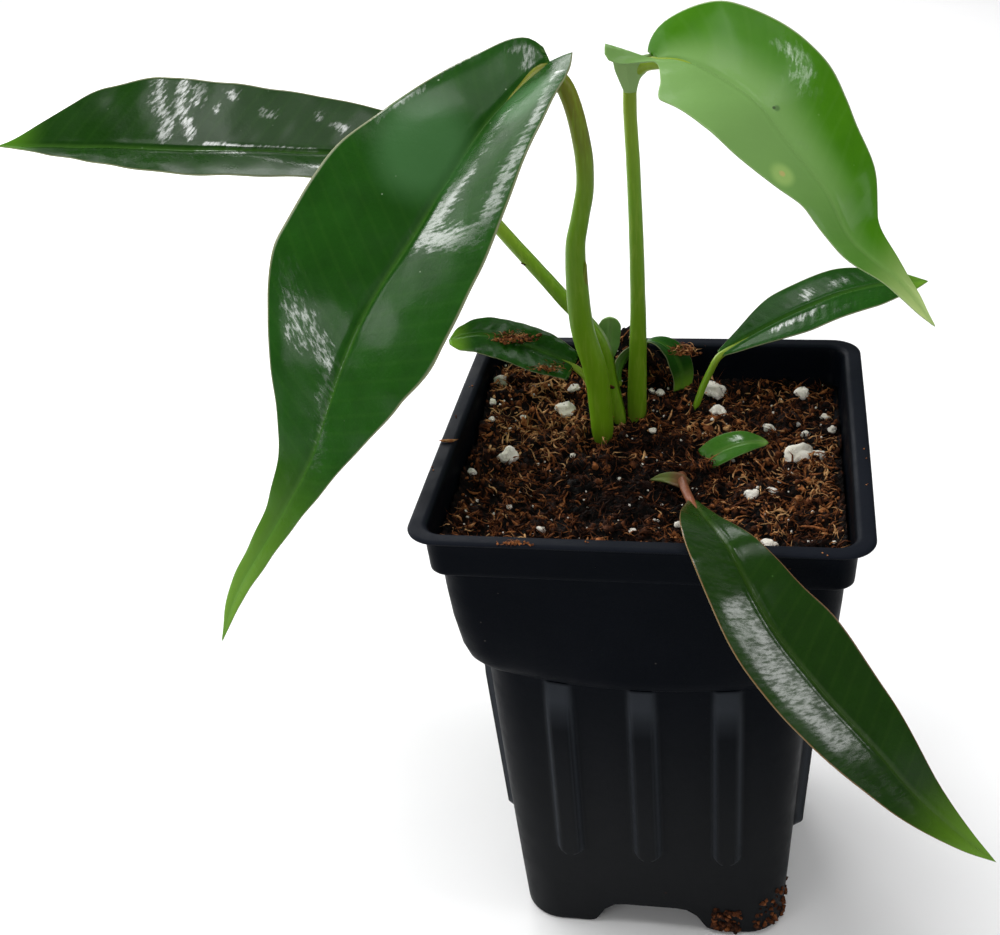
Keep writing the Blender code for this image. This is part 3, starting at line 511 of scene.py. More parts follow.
# %% The pot
def lower_ring(height, inset=0.0):
    """A ring of the lower wall, lifted over the arches near the floor."""
    ring = []
    for column in COLUMNS:
        first = wall_point(column, *lower_wall(height))
        real = height
        if height < ARCH_REACH:
            low = underside(first.x, first.y)
            real = low + (height - BASE_HEIGHT) * (ARCH_REACH - low) / (ARCH_REACH - BASE_HEIGHT)
        half, corner, bulge = lower_wall(real)
        across = column[2] if column[1] == "side" else 99.0
        swell = rib_swell(across, real) if inset == 0 else 0.0
        point = wall_point(column, half - inset, corner - inset, bulge, swell)
        point.z = real
        ring.append(point)
    return ring


def plain_ring(height, half, corner, bulge=FLAT):
    ring = [wall_point(column, half, corner, bulge) for column in COLUMNS]
    for point in ring:
        point.z = height
    return ring


def floor_rings(edge, thickness, shares):
    rings = []
    for share in shares:
        ring = []
        for point in edge:
            x, y = point.x * share, point.y * share
            ring.append(Vector((x, y, underside(x, y) + thickness)))
        rings.append(ring)
    return rings


def pot_rings():
    foot = lower_ring(BASE_HEIGHT, 0.7)
    rings = floor_rings(foot, 0.0, FLOOR_SHARES) + [foot, lower_ring(-1.5, 0.25)]
    rings += [lower_ring(height) for height in WALL_HEIGHTS]
    edge, corner = UPPER_EDGE, LEDGE_CORNER
    rings += [plain_ring(*row) for row in (
        (86.54, edge - 0.2, corner, 1.6), (86.68, edge - 0.05, corner, 1.6),
        (87.0, edge, corner, 1.55), (87.6, edge + 0.15, corner - 1.2, 1.35),
        (88.4, edge + 0.3, corner - 2.2, 1.05), (89.6, edge + 0.3, corner - 3.2, 0.75),
        (91.5, edge + 0.33, 7.9, 0.42),
        (95.5, edge + 0.55, 7.5, 0.15), (104, 44.3, 7.2), (112, 44.9, 7.0), (119, 45.3, 6.9),
        (119.8, 45.4, 6.8), (120.0, 45.6, 6.0), (120.1, 46.3, 4.6), (120.3, 46.7, 4.3),
        (120.7, 46.95, 4.2), (121.4, 47.02, 4.2), (126, 47.3, 4.3), (130.2, 47.55, 4.4),
        (130.6, 47.7, 4.6), (130.78, 48.1, 5.0), (130.82, 50.0, 6.8), (130.95, 50.6, 7.1),
        (131.2, 50.92, 7.3), (131.5, LIP_HALF, 7.3),
        (131.78, 50.86, 7.2), (131.95, 50.5, 7.0), (LIP_TOP, 50.1, 6.8), (131.96, 49.2, 6.1),
        (131.96, 48.2, 5.4), (131.9, 47.7, 5.0), (131.7, 47.3, 4.7), (131.3, 46.9, 4.4),
        (130.6, 46.6, 4.0), (129, 46.35, 3.7), (125, 46.1, 3.4), (121.6, 45.85, 3.2),
        (121.2, 45.6, 3.4), (120.9, 44.6, 5.0),
        (120, 44.2, 5.8), (104, 43.1, 6.0), (91.5, 42.1, 6.7, 0.42), (88, 41.9, 8.6, 1.1))]
    rings += [lower_ring(height, WALL) for height in (85, 60, 30, 20, 14, 9)]
    return rings + floor_rings(rings[-1], WALL, INNER_SHARES)


def drain_holes(pot):
    """Four round holes in the channels between the feet, cut with Boolean modifiers."""
    for quarter in range(4):
        angle = math.radians(90 * quarter)
        middle = Vector((DRAIN_RING * math.cos(angle), DRAIN_RING * math.sin(angle), DRAIN_MIDDLE))
        deselect()
        bpy.ops.mesh.primitive_cylinder_add(vertices=32, radius=DRAIN_RADIUS * MM,
                                            depth=DRAIN_DEPTH * MM, location=POT_AXIS + middle * MM)
        drill = bpy.context.object
        modifier = pot.modifiers.new("drain", "BOOLEAN")
        modifier.object = drill
        modifier.solver = "EXACT"
        deselect()
        pot.select_set(True)
        bpy.context.view_layer.objects.active = pot
        bpy.ops.object.modifier_apply(modifier="drain")
        bpy.data.objects.remove(drill)


def paint_rib_sheen(pot):
    """A paler line along each rib's flanks: a painted highlight where the rib edges catch the
    light.
    """
    values = []
    for vertex in pot.data.vertices:
        place = (vertex.co - POT_AXIS) / MM
        across = place.y if abs(place.x) > abs(place.y) else place.x
        swell = rib_swell(across, place.z) if 20 < place.z < LEDGE_HEIGHT else 0.0
        values.append(4 * swell * (RIB_PROUD - swell) / RIB_PROUD ** 2)
    set_attribute(pot, "painted_rib_sheen", [max(value, 0.0) for value in values])


pot = draw_out("pot_shell", pot_rings())
drain_holes(pot)
paint_rib_sheen(pot)
bpy.ops.object.shade_smooth_by_angle(angle=math.radians(40))
finish(pot, POT_PLASTIC, "pot_plastic", "pot")

# %% [markdown]
# A leaf is a bent sheet half a millimetre thick. Each ring crosses it: over the upper
# face from the left margin to the right one, and back underneath. The midrib is a
# groove with two soft shoulders above and a round rib below. Left and right are as seen
# from the base, looking along the leaf with its upper face up. The tables give the
# width of each half, how far it is folded up from flat, how it curls on the way out,
# and how far its side veins sweep back. What a leaf doesn't name is nought, or has the
# value written beside its use.

# %% The shape of a leaf blade
LEAF_THICK = 0.5
LEAF_ROWS = 120
HALF_COLUMNS = 20
VEIN_GAP, VEIN_SLANT = 4.2, 0.55


def leaf_table(leaf, name, share):
    """One measure of a leaf. Where both sides are alike, fold stands for fold_left and so on."""
    value = leaf.get(name, leaf.get(name.split("_")[0], 0))
    return read_table(value, share) if isinstance(value, list) else value


def half_width(leaf, share, place):
    return leaf_table(leaf, "left" if place < 0 else "right", share)


def across_shares():
    """From margin to margin, close together beside the midrib and at the margins."""
    half = []
    for step in range(1, HALF_COLUMNS + 1):
        share = step / HALF_COLUMNS
        half.append(0.25 * share + 0.75 * share ** 2.0 if share < 0.6 else
                    0.42 + (share - 0.6) / 0.4 * 0.58)
    half[-2] = 0.965
    return [-share for share in reversed(half)] + [0.0] + half


ACROSS = across_shares()


def leaf_line(leaf, route, share):
    """Points, normals and distances from the midrib along one line across the sheet."""
    along = route.direction(share)
    face = Vector([read_table([(at, look[axis]) for at, look in leaf["face"]], share)
                   for axis in range(3)])
    face = (face - face.dot(along) * along).normalized()
    right = along.cross(face)
    middle = route.at(share)
    line = {0.0: (middle, face, 0.0)}
    for sign, side in ((-1, "left"), (1, "right")):
        width = leaf_table(leaf, side, share)
        fold = math.radians(leaf_table(leaf, "fold_" + side, share))
        curl = math.radians(leaf_table(leaf, "curl_" + side, share))
        sweep = math.radians(leaf_table(leaf, "sweep_" + side, share))
        outward = math.cos(sweep) * sign * right - math.sin(sweep) * along
        point, last = middle, 0.0
        for place in [each for each in ACROSS if each > 0]:
            angle = fold + curl * (place + last) / 2
            slant = math.cos(angle) * outward + math.sin(angle) * face
            point = point + width * (place - last) * slant
            normal = math.cos(angle) * face - math.sin(angle) * outward
            line[sign * place] = (point, normal, width * place)
            last = place
    return [line[place] for place in ACROSS]


def sheet_relief(leaf, share, place, distance, point):
    """How far the sheet swells off its own middle surface: waves and quilting."""
    broad = noise.noise(point * 0.11 + Vector((0, 0, 40))) * leaf.get("wave", 0.3)
    ripple = math.sin(share * leaf.get("ripples", 9.0) * math.tau)
    margin = leaf.get("ripple", 0.0) * abs(place) ** 3 * ripple
    along = share * leaf["length"] + VEIN_SLANT * distance
    quilt_phase = along / leaf.get("vein_gap", VEIN_GAP)
    quilt = leaf.get("quilt", 0.05) * math.cos(math.tau * quilt_phase) * (1 - abs(place) ** 4)
    relief = broad + margin + quilt * smooth_step(0.5, 3.0, distance)
    return relief * smooth_step(0.0, 0.06, share)


def leaf_rings(leaf):
    route = Route(leaf["midrib"])
    leaf["length"] = route.length
    rows = leaf.get("rows", LEAF_ROWS)
    pointed = leaf.get("pointed", True)
    rings = []
    for row in range(rows + 1):
        share = row / rows
        line = leaf_line(leaf, route, share)
        taper = smooth_step(1.0, 0.86, share) if pointed else 1.0
        upper, lower, middle = [], [], []
        for place, (point, normal, distance) in zip(ACROSS, line):
            thick = leaf.get("thick", LEAF_THICK) / 2
            thick *= 0.55 + 0.45 * smooth_step(1.0, 0.8, abs(place))
            width = leaf.get("rib_width", 1.0)
            groove = leaf.get("groove", 0.35) * taper * (1 - 0.6 * share)
            top = thick - groove * bump(distance, 0.55 * width)
            top += 0.7 * groove * bump(distance - 1.35 * width, 0.6 * width)
            rib = leaf.get("rib", 0.9) * (1 - 0.75 * share) * taper
            under = thick + rib * bump(distance, 0.85 * width)
            swell = sheet_relief(leaf, share, place, distance, point) * taper
            middle.append(point + swell * normal)
            upper.append(point + (swell + top) * normal)
            lower.append(point + (swell - under) * normal)
        if row in (0, rows):
            upper = lower = middle
        rings.append([middle[0], *upper, middle[-1], *reversed(lower)])
    return rings


def flattened(leaf, share, place):
    """A place on the leaf in millimetres, as if it were pressed flat."""
    return Vector((share * leaf["length"], place * half_width(leaf, share, place)))


def wetness(leaf, share, place):
    """How wet a place is: full along strokes of water film, none a few millimetres off."""
    here, most = flattened(leaf, share, place), 0.0
    for width, amount, *places in leaf.get("wet", ()):
        line = [flattened(leaf, *point) for point in places]
        for start, end in zip(line, line[1:]):
            way = end - start
            reach = min(max((here - start).dot(way) / max(way.length_squared, 0.01), 0.0), 1.0)
            most = max(most, amount * bump((here - start - reach * way).length, width))
    return most


def make_leaf(name, leaf):
    piece = draw_out(name, leaf_rings(leaf))
    rows = leaf.get("rows", LEAF_ROWS)
    places = [-1.0, *ACROSS, 1.0, *reversed(ACROSS)]
    column, row = whole_numbers(piece, "column"), whole_numbers(piece, "row")
    along = [number / rows for number in row]
    across = [places[number] for number in column]
    set_attribute(piece, "across", across)
    set_attribute(piece, "along", along)
    below = [number > len(ACROSS) + 1 for number in column]
    set_attribute(piece, "below", [float(under) for under in below])
    distances = [abs(place) * half_width(leaf, share, place) for share, place in zip(along, across)]
    set_attribute(piece, "from_midrib", distances)
    set_attribute(piece, "across_mm",
                  [math.copysign(far, place) for far, place in zip(distances, across)])
    set_attribute(piece, "along_mm", [share * leaf["length"] for share in along])
    set_attribute(piece, "wet", [0.0 if under else wetness(leaf, share, place)
                                 for share, place, under in zip(along, across, below)])
    return piece


# %% The measures of the large leaf
LARGE_LEAF = dict(
    midrib=[(-22, 14, 218), (-28, 8, 214), (-36.5, -2, 206.5), (-48, -14, 191), (-59, -24, 176),
            (-65, -28, 165), (-75, -33, 141.5), (-82.5, -35, 129), (-90.5, -36, 117),
            (-98.7, -36, 104), (-105.2, -35.2, 89)],
    face=[(0, (-0.3, -0.7, 0.65)), (0.3, (-0.15, -0.75, 0.6)), (1, (-0.05, -0.8, 0.6))],
    left=[(0, 7.4), (0.05, 14.4), (0.15, 20), (0.3, 23.6), (0.42, 24.5), (0.5, 19.6), (0.65, 7.6),
          (0.75, 4.4), (0.9, 2.3), (1, 0)],
    right=[(0, 4.2), (0.012, 8.2), (0.03, 10.8), (0.05, 12.4), (0.15, 18.9), (0.3, 27.6),
           (0.4, 27.2), (0.5, 20.2), (0.65, 8.8), (0.75, 4.5), (0.9, 2.4), (1, 0)],
    fold_left=[(0, 40), (0.2, 33), (0.4, 25), (0.7, 20), (1, 10)],
    fold_right=[(0, 24), (0.3, 20), (1, 8)], curl_left=-14, curl_right=-22,
    sweep_left=[(0, 25), (0.12, 12), (0.3, 5), (1, 0)],
    sweep_right=[(0, 25), (0.12, 10), (0.3, 5), (1, 0)],
    rows=150, ripple=0.12, ripples=13, groove=0.16, rib_width=1.5, quilt=0.015,
    wet=[(1.6, 1.0, (0.02, -0.2), (0.05, -0.22), (0.09, -0.28), (0.12, -0.26), (0.15, -0.24)),
         (2.6, 1.0, (0.15, -0.24), (0.18, -0.23), (0.2, -0.22)),
         (3.6, 1.0, (0.2, -0.23), (0.22, -0.22), (0.255, -0.2), (0.29, -0.14)),
         (3.2, 1.0, (0.3, -0.14), (0.291, -0.39), (0.282, -0.62), (0.272, -0.78)),
         (1.8, 1.0, (0.05, -0.84), (0.076, -0.86), (0.11, -0.88), (0.142, -0.89), (0.17, -0.89)),
         (2.6, 1.0, (0.17, -0.88), (0.191, -0.85), (0.22, -0.84), (0.265, -0.84)),
         (4.2, 0.62, (0.43, 0.8), (0.46, 0.68), (0.49, 0.6)),
         (3.6, 0.62, (0.464, 0.5), (0.485, 0.3), (0.5, 0.15)),
         (2.6, 0.75, (0.5, 0.1), (0.544, 0.1), (0.6, -0.1), (0.64, -0.3)),
         (2.0, 0.85, (0.035, 0.82), (0.023, 0.68), (0.025, 0.4), (0.03, 0.2)),
         (1.0, 0.9, (0.07, 0.93), (0.12, 0.95), (0.17, 0.95), (0.21, 0.96))])
print("large leaf:", len(leaf_rings(LARGE_LEAF)), "rings")

# %% The measures of the other large blades
YOUNG_LEAF = dict(
    midrib=[(1.5, 24, 214.5), (6, 21, 215.5), (15.5, 14, 213.5), (24.5, 6, 209), (31.5, 0, 201.5),
            (38, -4, 194.5), (44, -8, 184.5), (54, -11, 176.5), (62.5, -12, 166)],
    face=[(0, (-0.1, -0.6, 0.75)), (0.12, (0.1, -0.6, 0.75)), (0.4, (0.5, -0.6, 0.65)),
          (0.8, (0.6, -0.55, 0.5)), (1, (0.6, -0.5, 0.5))],
    left=[(0, 4.6), (0.05, 11), (0.15, 17.6), (0.3, 19.4), (0.42, 17.8), (0.55, 14.8), (0.7, 9.3),
          (0.85, 3.2), (0.93, 1.5), (1, 0)],
    right=[(0, 13.2), (0.02, 14), (0.035, 11.4), (0.06, 5.8), (0.08, 6.3), (0.1, 7.3), (0.15, 10.8),
           (0.2, 15.6), (0.35, 16.2), (0.5, 11.2), (0.65, 6.6), (0.8, 3.8), (0.92, 2.3), (1, 0)],
    fold_left=[(0, 20), (1, 12)], fold_right=[(0, 45), (0.05, 26), (0.12, 14), (1, 8)],
    curl=-10,
    sweep_left=[(0, 60), (0.06, 35), (0.2, 15), (0.35, 5), (1, 0)],
    sweep_right=[(0, 88), (0.02, 78), (0.035, 66), (0.06, 60), (0.1, 50), (0.15, 32), (0.2, 16),
                 (0.35, 3), (1, 0)],
    ripple=0.1, groove=0.2, rib_width=0.9, quilt=0.01,
    wet=[(1.8, 0.8, (0.255, -0.72), (0.3, -0.74), (0.337, -0.74)),
         (1.5, 0.8, (0.28, -0.9), (0.31, -0.86)),
         (2.4, 0.75, (0.33, -0.6), (0.36, -0.55), (0.385, -0.68)),
         (1.2, 0.8, (0.448, -0.1), (0.478, -0.2))])

FAR_LEFT_LEAF = dict(
    midrib=[(-50, 32, 187), (-56.5, 31, 189.3), (-76.5, 26, 193), (-100.3, 20, 196.4),
            (-119.3, 17.5, 198), (-140.5, 17.5, 199), (-162.5, 18, 199.5)],
    face=[(0, (0, -0.3, 0.95)), (1, (0, -0.4, 0.93))],
    left=[(0, 6), (0.08, 9.5), (0.3, 15.5), (0.5, 15.2), (0.65, 11.5), (0.85, 4.8), (0.95, 1.5),
          (1, 0)],
    right=[(0, 7), (0.08, 11), (0.3, 16.7), (0.5, 19.4), (0.65, 20.3), (0.78, 16.8), (0.9, 7.3),
           (0.97, 1.6), (1, 0)],
    fold_left=20, fold_right=22, curl=-5,
    sweep=[(0, 45), (0.12, 20), (0.3, 5), (1, 0)],
    ripple=0.1, groove=0.3, quilt=0.015,
    wet=[(2.4, 0.8, (0.66, 0.92), (0.655, 0.7), (0.64, 0.5)),
         (2.2, 0.85, (0.6, 0.93), (0.605, 0.75), (0.595, 0.55)),
         (2.2, 0.8, (0.56, 0.92), (0.565, 0.7)), (2.4, 0.85, (0.62, 0.4), (0.625, 0.2)),
         (2.0, 0.85, (0.58, 0.4), (0.57, 0.2)),
         (0.8, 1.0, (0.53, 0.1), (0.457, 0.06), (0.3, 0.05)),
         (2.4, 0.9, (0.64, -0.35), (0.6, -0.38), (0.574, -0.3), (0.539, -0.14), (0.455, -0.18)),
         (1.1, 1.0, (0.455, -0.2), (0.4, -0.34), (0.336, -0.54), (0.3, -0.62)),
         (2.2, 0.9, (0.539, -0.05), (0.47, -0.08)), (1.6, 0.8, (0.49, 0.85), (0.485, 0.8)),
         (1.4, 0.8, (0.522, 0.62), (0.52, 0.58)), (1.6, 0.8, (0.42, 0.6), (0.4, 0.57)),
         (1.3, 0.85, (0.302, 0.66), (0.3, 0.6)), (1.6, 0.85, (0.264, 0.54), (0.25, 0.48))])

FRONT_LEAF = dict(
    midrib=[(10.5, -17, 122.8), (13.8, -33, 129.4), (17, -44, 133.2), (20.2, -51.5, 133.4),
            (24.2, -57.2, 128.9), (29.5, -61.6, 121), (38, -65, 110.5), (50, -68, 97),
            (61, -69, 83), (71, -68.5, 72), (79, -66, 63)],
    face=[(0, (0.1, -0.35, 0.95)), (0.3, (0.3, -0.65, 0.75)), (1, (0.45, -0.8, 0.5))],
    left=[(0, 1.0), (0.05, 1.7), (0.15, 3), (0.25, 5), (0.35, 8.6), (0.48, 12), (0.62, 10),
          (0.75, 6.8), (0.9, 2.6), (1, 0)],
    right=[(0, 1.0), (0.05, 2.4), (0.15, 5.6), (0.3, 9.6), (0.48, 11.3), (0.6, 10.6), (0.75, 7.3),
           (0.9, 2.9), (1, 0)],
    fold=15, curl=-5,
    wave=0.2, groove=0.22, rib_width=0.8, quilt=0.015,
    wet=[(7.0, 0.8, (0.24, 0.6), (0.3, 0.6), (0.377, 0.6), (0.436, 0.5), (0.503, 0.52),
          (0.572, 0.58), (0.66, 0.6)),
         (2.4, 0.9, (0.52, 0.88), (0.572, 0.88), (0.646, 0.9), (0.72, 0.85)),
         (2.0, 0.85, (0.68, 0.3), (0.72, 0.42), (0.79, 0.5))])

RIGHT_LEAF = dict(
    midrib=[(15, 34, 135.5), (21, 38, 138), (32.5, 44, 142), (45, 50, 145), (58, 55, 146),
            (68, 58, 145.5)],
    face=[(0, (-0.2, -0.45, 0.85)), (1, (-0.1, -0.4, 0.9))],
    left=[(0, 1.2), (0.1, 2.8), (0.35, 7.5), (0.6, 8), (0.85, 4), (1, 0)],
    right=[(0, 1.2), (0.1, 4.2), (0.4, 9.2), (0.7, 8.2), (0.9, 4), (1, 0)],
    fold=[(0, 20), (1, 10)], curl=-5,
    rows=70, wave=0.2, groove=0.25, rib_width=0.7, quilt=0.04,
    vein_gap=3.2,
    wet=[(1.8, 0.9, (0.37, 0.36), (0.489, 0.2)), (1.4, 0.9, (0.25, 0.4), (0.332, 0.33)),
         (1.6, 0.85, (0.45, -0.4), (0.48, -0.5)), (1.4, 0.85, (0.576, -0.45), (0.645, -0.5)),
         (1.4, 0.85, (0.52, 0.7), (0.62, 0.6))])

# %% The measures of the small leaves
BACK_LEFT_LEAF = dict(
    midrib=[(-22.5, 30, 134), (-30, 31, 137), (-39.5, 32, 140), (-47.5, 32, 141.5),
            (-55.5, 30, 141)],
    face=[(0, (-0.1, -0.5, 0.85)), (1, (-0.2, -0.5, 0.8))],
    left=[(0, 5), (0.3, 6.8), (0.7, 6.2), (0.92, 4.6), (1, 1.6)],
    right=[(0, 3.5), (0.3, 5.6), (0.7, 5.4), (0.92, 3.0), (1, 0)],
    fold=10, curl=-10,
    rows=50, wave=0.35, ripple=0.1, groove=0.2, rib_width=0.6)

CURLED_LEAF = dict(
    midrib=[(-11.6, 37.5, 122), (-11.8, 38, 128.5), (-9, 38.2, 134), (-3.2, 38.4, 137),
            (1.6, 38.4, 134.6), (4.0, 38.2, 130.5), (4.8, 38.3, 126.5), (4.4, 38.4, 122.5)],
    face=[(0, (-0.9, 0.4, 0.1)), (0.3, (-0.5, 0.5, 0.7)), (0.48, (0, 0.35, 0.9)),
          (0.65, (0.6, -0.3, 0.6)), (0.8, (0.7, -0.75, 0.1)), (1, (0.6, -0.8, -0.1))],
    left=[(0, 1.5), (0.2, 3), (0.6, 3.6), (0.8, 3.8), (1, 3)],
    right=[(0, 1.5), (0.2, 3), (0.6, 3.4), (0.8, 3.2), (1, 2.4)],
    fold=5,
    rows=60, wave=0.15, groove=0.15, rib_width=0.6, rib=0.5, pointed=False)

SEEDLING_LEAF = dict(
    midrib=[(12.3, 6.0, 119.6), (15.0, 6.2, 121.9), (18.5, 6.6, 123.7), (23, 7.2, 124.8),
            (27.9, 8.1, 124.5)],
    face=[(0, (-0.2, -0.4, 0.9)), (1, (0, -0.35, 0.95))],
    left=[(0, 4.0), (0.3, 4.5), (0.6, 4.0), (0.85, 2.2), (0.96, 0.9), (1, 0)],
    right=[(0, 3.7), (0.3, 4.0), (0.6, 3.3), (0.85, 1.7), (0.96, 0.7), (1, 0)],
    fold=[(0, 12), (1, 8)], curl=-5,
    rows=50, wave=0.1, groove=0.1, rib_width=0.5, rib=0.3, quilt=0.02,
    wet=[(1.2, 0.95, (0.45, -0.45), (0.609, -0.45))])

PALE_LEAF = dict(
    midrib=[(-14.5, 41, 131), (-14.5, 41, 136), (-14.2, 40.5, 140), (-14, 40, 143.3)],
    face=[(0, (0.1, -0.9, 0.4)), (1, (0.1, -0.9, 0.4))],
    **dict.fromkeys(("left", "right"), [(0, 1.2), (0.35, 2.8), (0.75, 3), (0.93, 2), (1, 0.4)]),
    fold=10, curl=-10,
    rows=30, wave=0.1, groove=0.12, rib_width=0.5, rib=0.3, quilt=0.02, pointed=False)

SMOOTH = dict(wave=0.0, groove=0.0, rib=0.0, quilt=0.0)
YOUNG_FUNNEL = dict(
    midrib=[(-5.7, 27.5, 206.4), (-5.9, 26.9, 209.8), (-6.2, 26.1, 212.6), (-6.4, 25.6, 215.0)],
    face=[(0, (0, -0.9, 0.2)), (1, (0, -0.9, 0.35))],
    left=[(0, 1.5), (0.4, 2.6), (0.75, 3.1), (1, 3.2)],
    right=[(0, 1.4), (0.35, 2.6), (0.5, 4.6), (0.65, 8), (0.8, 10.4), (1, 11.6)],
    fold_left=-18, fold_right=-10, rows=24, thick=0.4, pointed=False, **SMOOTH)

SHEATH = dict(
    midrib=[(-11.9, 15.2, 121), (-12.3, 14.8, 130), (-13.4, 14.6, 140), (-16, 14.4, 151.5),
            (-16.6, 14.2, 162), (-16.2, 14, 170.5)],
    face=[(0, (0.8, -0.6, 0)), (1, (0.8, -0.6, 0))],
    **dict.fromkeys(("left", "right"), [(0, 2.6), (0.5, 2.2), (0.85, 1.3), (1, 0)]),
    fold=[(0, -25), (1, -10)], curl=-10,
    rows=40, thick=0.7, **SMOOTH)

FRONT_SHEATH = dict(
    midrib=[(9.2, -8.2, 121.6), (6.6, -7.2, 122.6), (3.0, -6.8, 122.9), (-0.3, -7.0, 122.2)],
    face=[(0, (0, -0.5, 0.85)), (1, (0, -0.5, 0.85))],
    left=[(0, 1.4), (0.3, 2.0), (0.7, 1.2), (1, 0)],
    right=[(0, 1.4), (0.3, 1.8), (0.7, 1.0), (1, 0)],
    fold=14, rows=24, thick=0.6, **dict(SMOOTH, groove=0.1, rib=0.1))

# %% [markdown]
# A petiole is a leaf's stalk. It is fleshy and nearly round, a little wider at the
# base, with a shallow channel on the side that faces the blade. Its last rings run on
# under the midrib and grow thin there, so that stalk and blade join without a step.

# %% Stalks
STALK_SIDES = 24
STALK_RINGS = 60
STALK_FOOT = 107.8


def stalk_rings(stalk):
    route = Route(stalk["points"])
    rings = []
    count = stalk.get("rings", STALK_RINGS)
    side = Vector((0, 1, 0))
    channel = math.radians(stalk.get("channel_at", 90))
    for number in range(count + 1):
        share = number / count
        along = route.direction(share, 0.02)
        side = (side - side.dot(along) * along).normalized()
        across = along.cross(side)
        middle = route.at(share)
        radius = read_table(stalk["radii"], share)
        if number in (0, count):
            rings.append([middle] * STALK_SIDES)
            continue
        ring = []
        for step in range(STALK_SIDES):
            turn = math.tau * step / STALK_SIDES
            away = math.remainder(turn - channel, math.tau)
            hollow = stalk.get("channel", 0.0) * bump(away, 0.5)
            round_it = Vector((math.cos(turn), math.sin(turn), 0))
            uneven = 0.03 * noise.noise((middle + 3 * round_it) * 0.22)
            reach = radius * (1 - hollow + uneven)
            ring.append(middle + reach * (math.cos(turn) * side + math.sin(turn) * across))
        rings.append(ring)
    return rings


def under_rib(leaf, shares, depth):
    """Points just below a blade's midrib, for its petiole to run on along."""
    route = Route(leaf["midrib"])
    points = []
    for share in shares:
        face = leaf_line(leaf, route, share)[len(ACROSS) // 2][1]
        points.append(tuple(route.at(share) - depth * face))
    return points


def make_stalk(name, stalk):
    piece = draw_out(name, stalk_rings(stalk))
    count = stalk.get("rings", STALK_RINGS)
    set_attribute(piece, "along", [number / count for number in whole_numbers(piece, "row")])
    return piece


LARGE_STALK = dict(
    points=[(-12.5, 18, STALK_FOOT), (-14, 16.3, 117), (-14.3, 15.8, 128), (-15.3, 15.8, 140),
            (-18, 15.6, 151.5), (-18.8, 15.3, 166), (-18.6, 15.1, 174), (-17.1, 14.9, 181.2),
            (-15.7, 14.7, 188.2), (-15.5, 14.6, 195), (-16.3, 14.4, 201.7), (-17.7, 14.3, 208.3),
            (-19.2, 14.3, 212.3), (-21, 14.1, 214.6), (-23.1, 13.0, 216)]
    + under_rib(LARGE_LEAF, (0.06, 0.12), 0.9),
    radii=[(0, 1.2), (0.06, 1.8), (0.13, 3.0), (0.2, 3.1), (0.4, 2.95), (0.5, 2.55), (0.6, 2.25),
           (0.85, 2.1), (0.93, 1.4), (1, 0.5)],
    rings=90, channel=0.1)
YOUNG_STALK = dict(
    points=[(-6.8, 25, STALK_FOOT), (-6.3, 27, 120), (-6.0, 27.4, 130), (-5.4, 27.9, 146),
            (-5.3, 28.3, 161), (-5.4, 28.7, 176), (-5.7, 29.1, 190), (-6.1, 29.6, 203),
            (-5.6, 29.5, 208.5), (-3.0, 27.9, 212.4), (1.2, 25.2, 214.0)]
    + under_rib(YOUNG_LEAF, (0.08, 0.16), 0.8),
    radii=[(0, 1.8), (0.12, 2.45), (0.4, 1.9), (0.7, 1.65), (0.88, 1.55), (0.93, 1.2), (1, 0.4)],
    rings=80)
FAR_LEFT_STALK = dict(
    points=[(-10.3, 23.2, STALK_FOOT), (-10.8, 25, 116), (-11, 25.6, 121), (-12.8, 27, 130),
            (-14.9, 28, 141), (-19.5, 29, 148), (-24.1, 30, 152.8), (-30.2, 31, 159.9),
            (-36.4, 32, 167), (-41.5, 33, 173), (-45.5, 33.2, 178.8), (-48.4, 33, 183),
            (-51, 32.5, 186.2)] + under_rib(FAR_LEFT_LEAF, (0.05, 0.12), 0.9),
    radii=[(0, 1.6), (0.12, 2.4), (0.3, 2.3), (0.5, 2.0), (0.85, 1.6), (0.92, 1.1), (1, 0.4)],
    rings=80, channel=0.22, channel_at=270)
RIGHT_STALK = dict(
    points=[(-3.3, 26, STALK_FOOT), (-1, 27.5, 110.5), (4, 29.5, 115), (8.1, 31, 119.8),
            (9.4, 31.5, 123.5), (10.6, 32.2, 127), (12.4, 33, 131), (14.6, 33.7, 135.0)]
    + under_rib(RIGHT_LEAF, (0.08, 0.2), 0.5),
    radii=[(0, 1.0), (0.5, 0.95), (0.8, 0.95), (0.88, 0.7), (1, 0.3)], rings=50, channel=0.15)
FRONT_STALK = dict(
    points=[(-4.8, 15.5, STALK_FOOT), (-1, 10.5, 111), (4, 4, 116), (7.2, -2.2, 120.8),
            (7.6, -6.5, 122.4), (8.6, -11.5, 122.8), (10.3, -16.3, 122.4)]
    + under_rib(FRONT_LEAF, (0.04, 0.1), 0.5),
    radii=[(0, 1.1), (0.5, 1.1), (0.8, 1.0), (0.88, 0.8), (1, 0.3)], rings=50, channel=0.12)
BACK_LEFT_STALK = dict(
    points=[(-14.5, 23.8, STALK_FOOT), (-15.8, 24.6, 114), (-16.5, 25.4, 120), (-17.5, 26.8, 127),
            (-19.5, 28.4, 131.5), (-23.5, 30.1, 134.0), (-28, 30.7, 135.7)],
    radii=[(0, 1.1), (0.5, 1.1), (0.8, 0.9), (1, 0.3)], rings=40)
CURLED_STALK = dict(
    points=[(-8.8, 28.6, STALK_FOOT), (-10, 32, 112), (-11.2, 35.8, 117.5), (-11.7, 37.4, 122),
            (-11.9, 37.9, 126), (-11.7, 38.1, 129)],
    radii=[(0, 1.1), (0.5, 1.1), (0.8, 0.9), (1, 0.3)], rings=30)
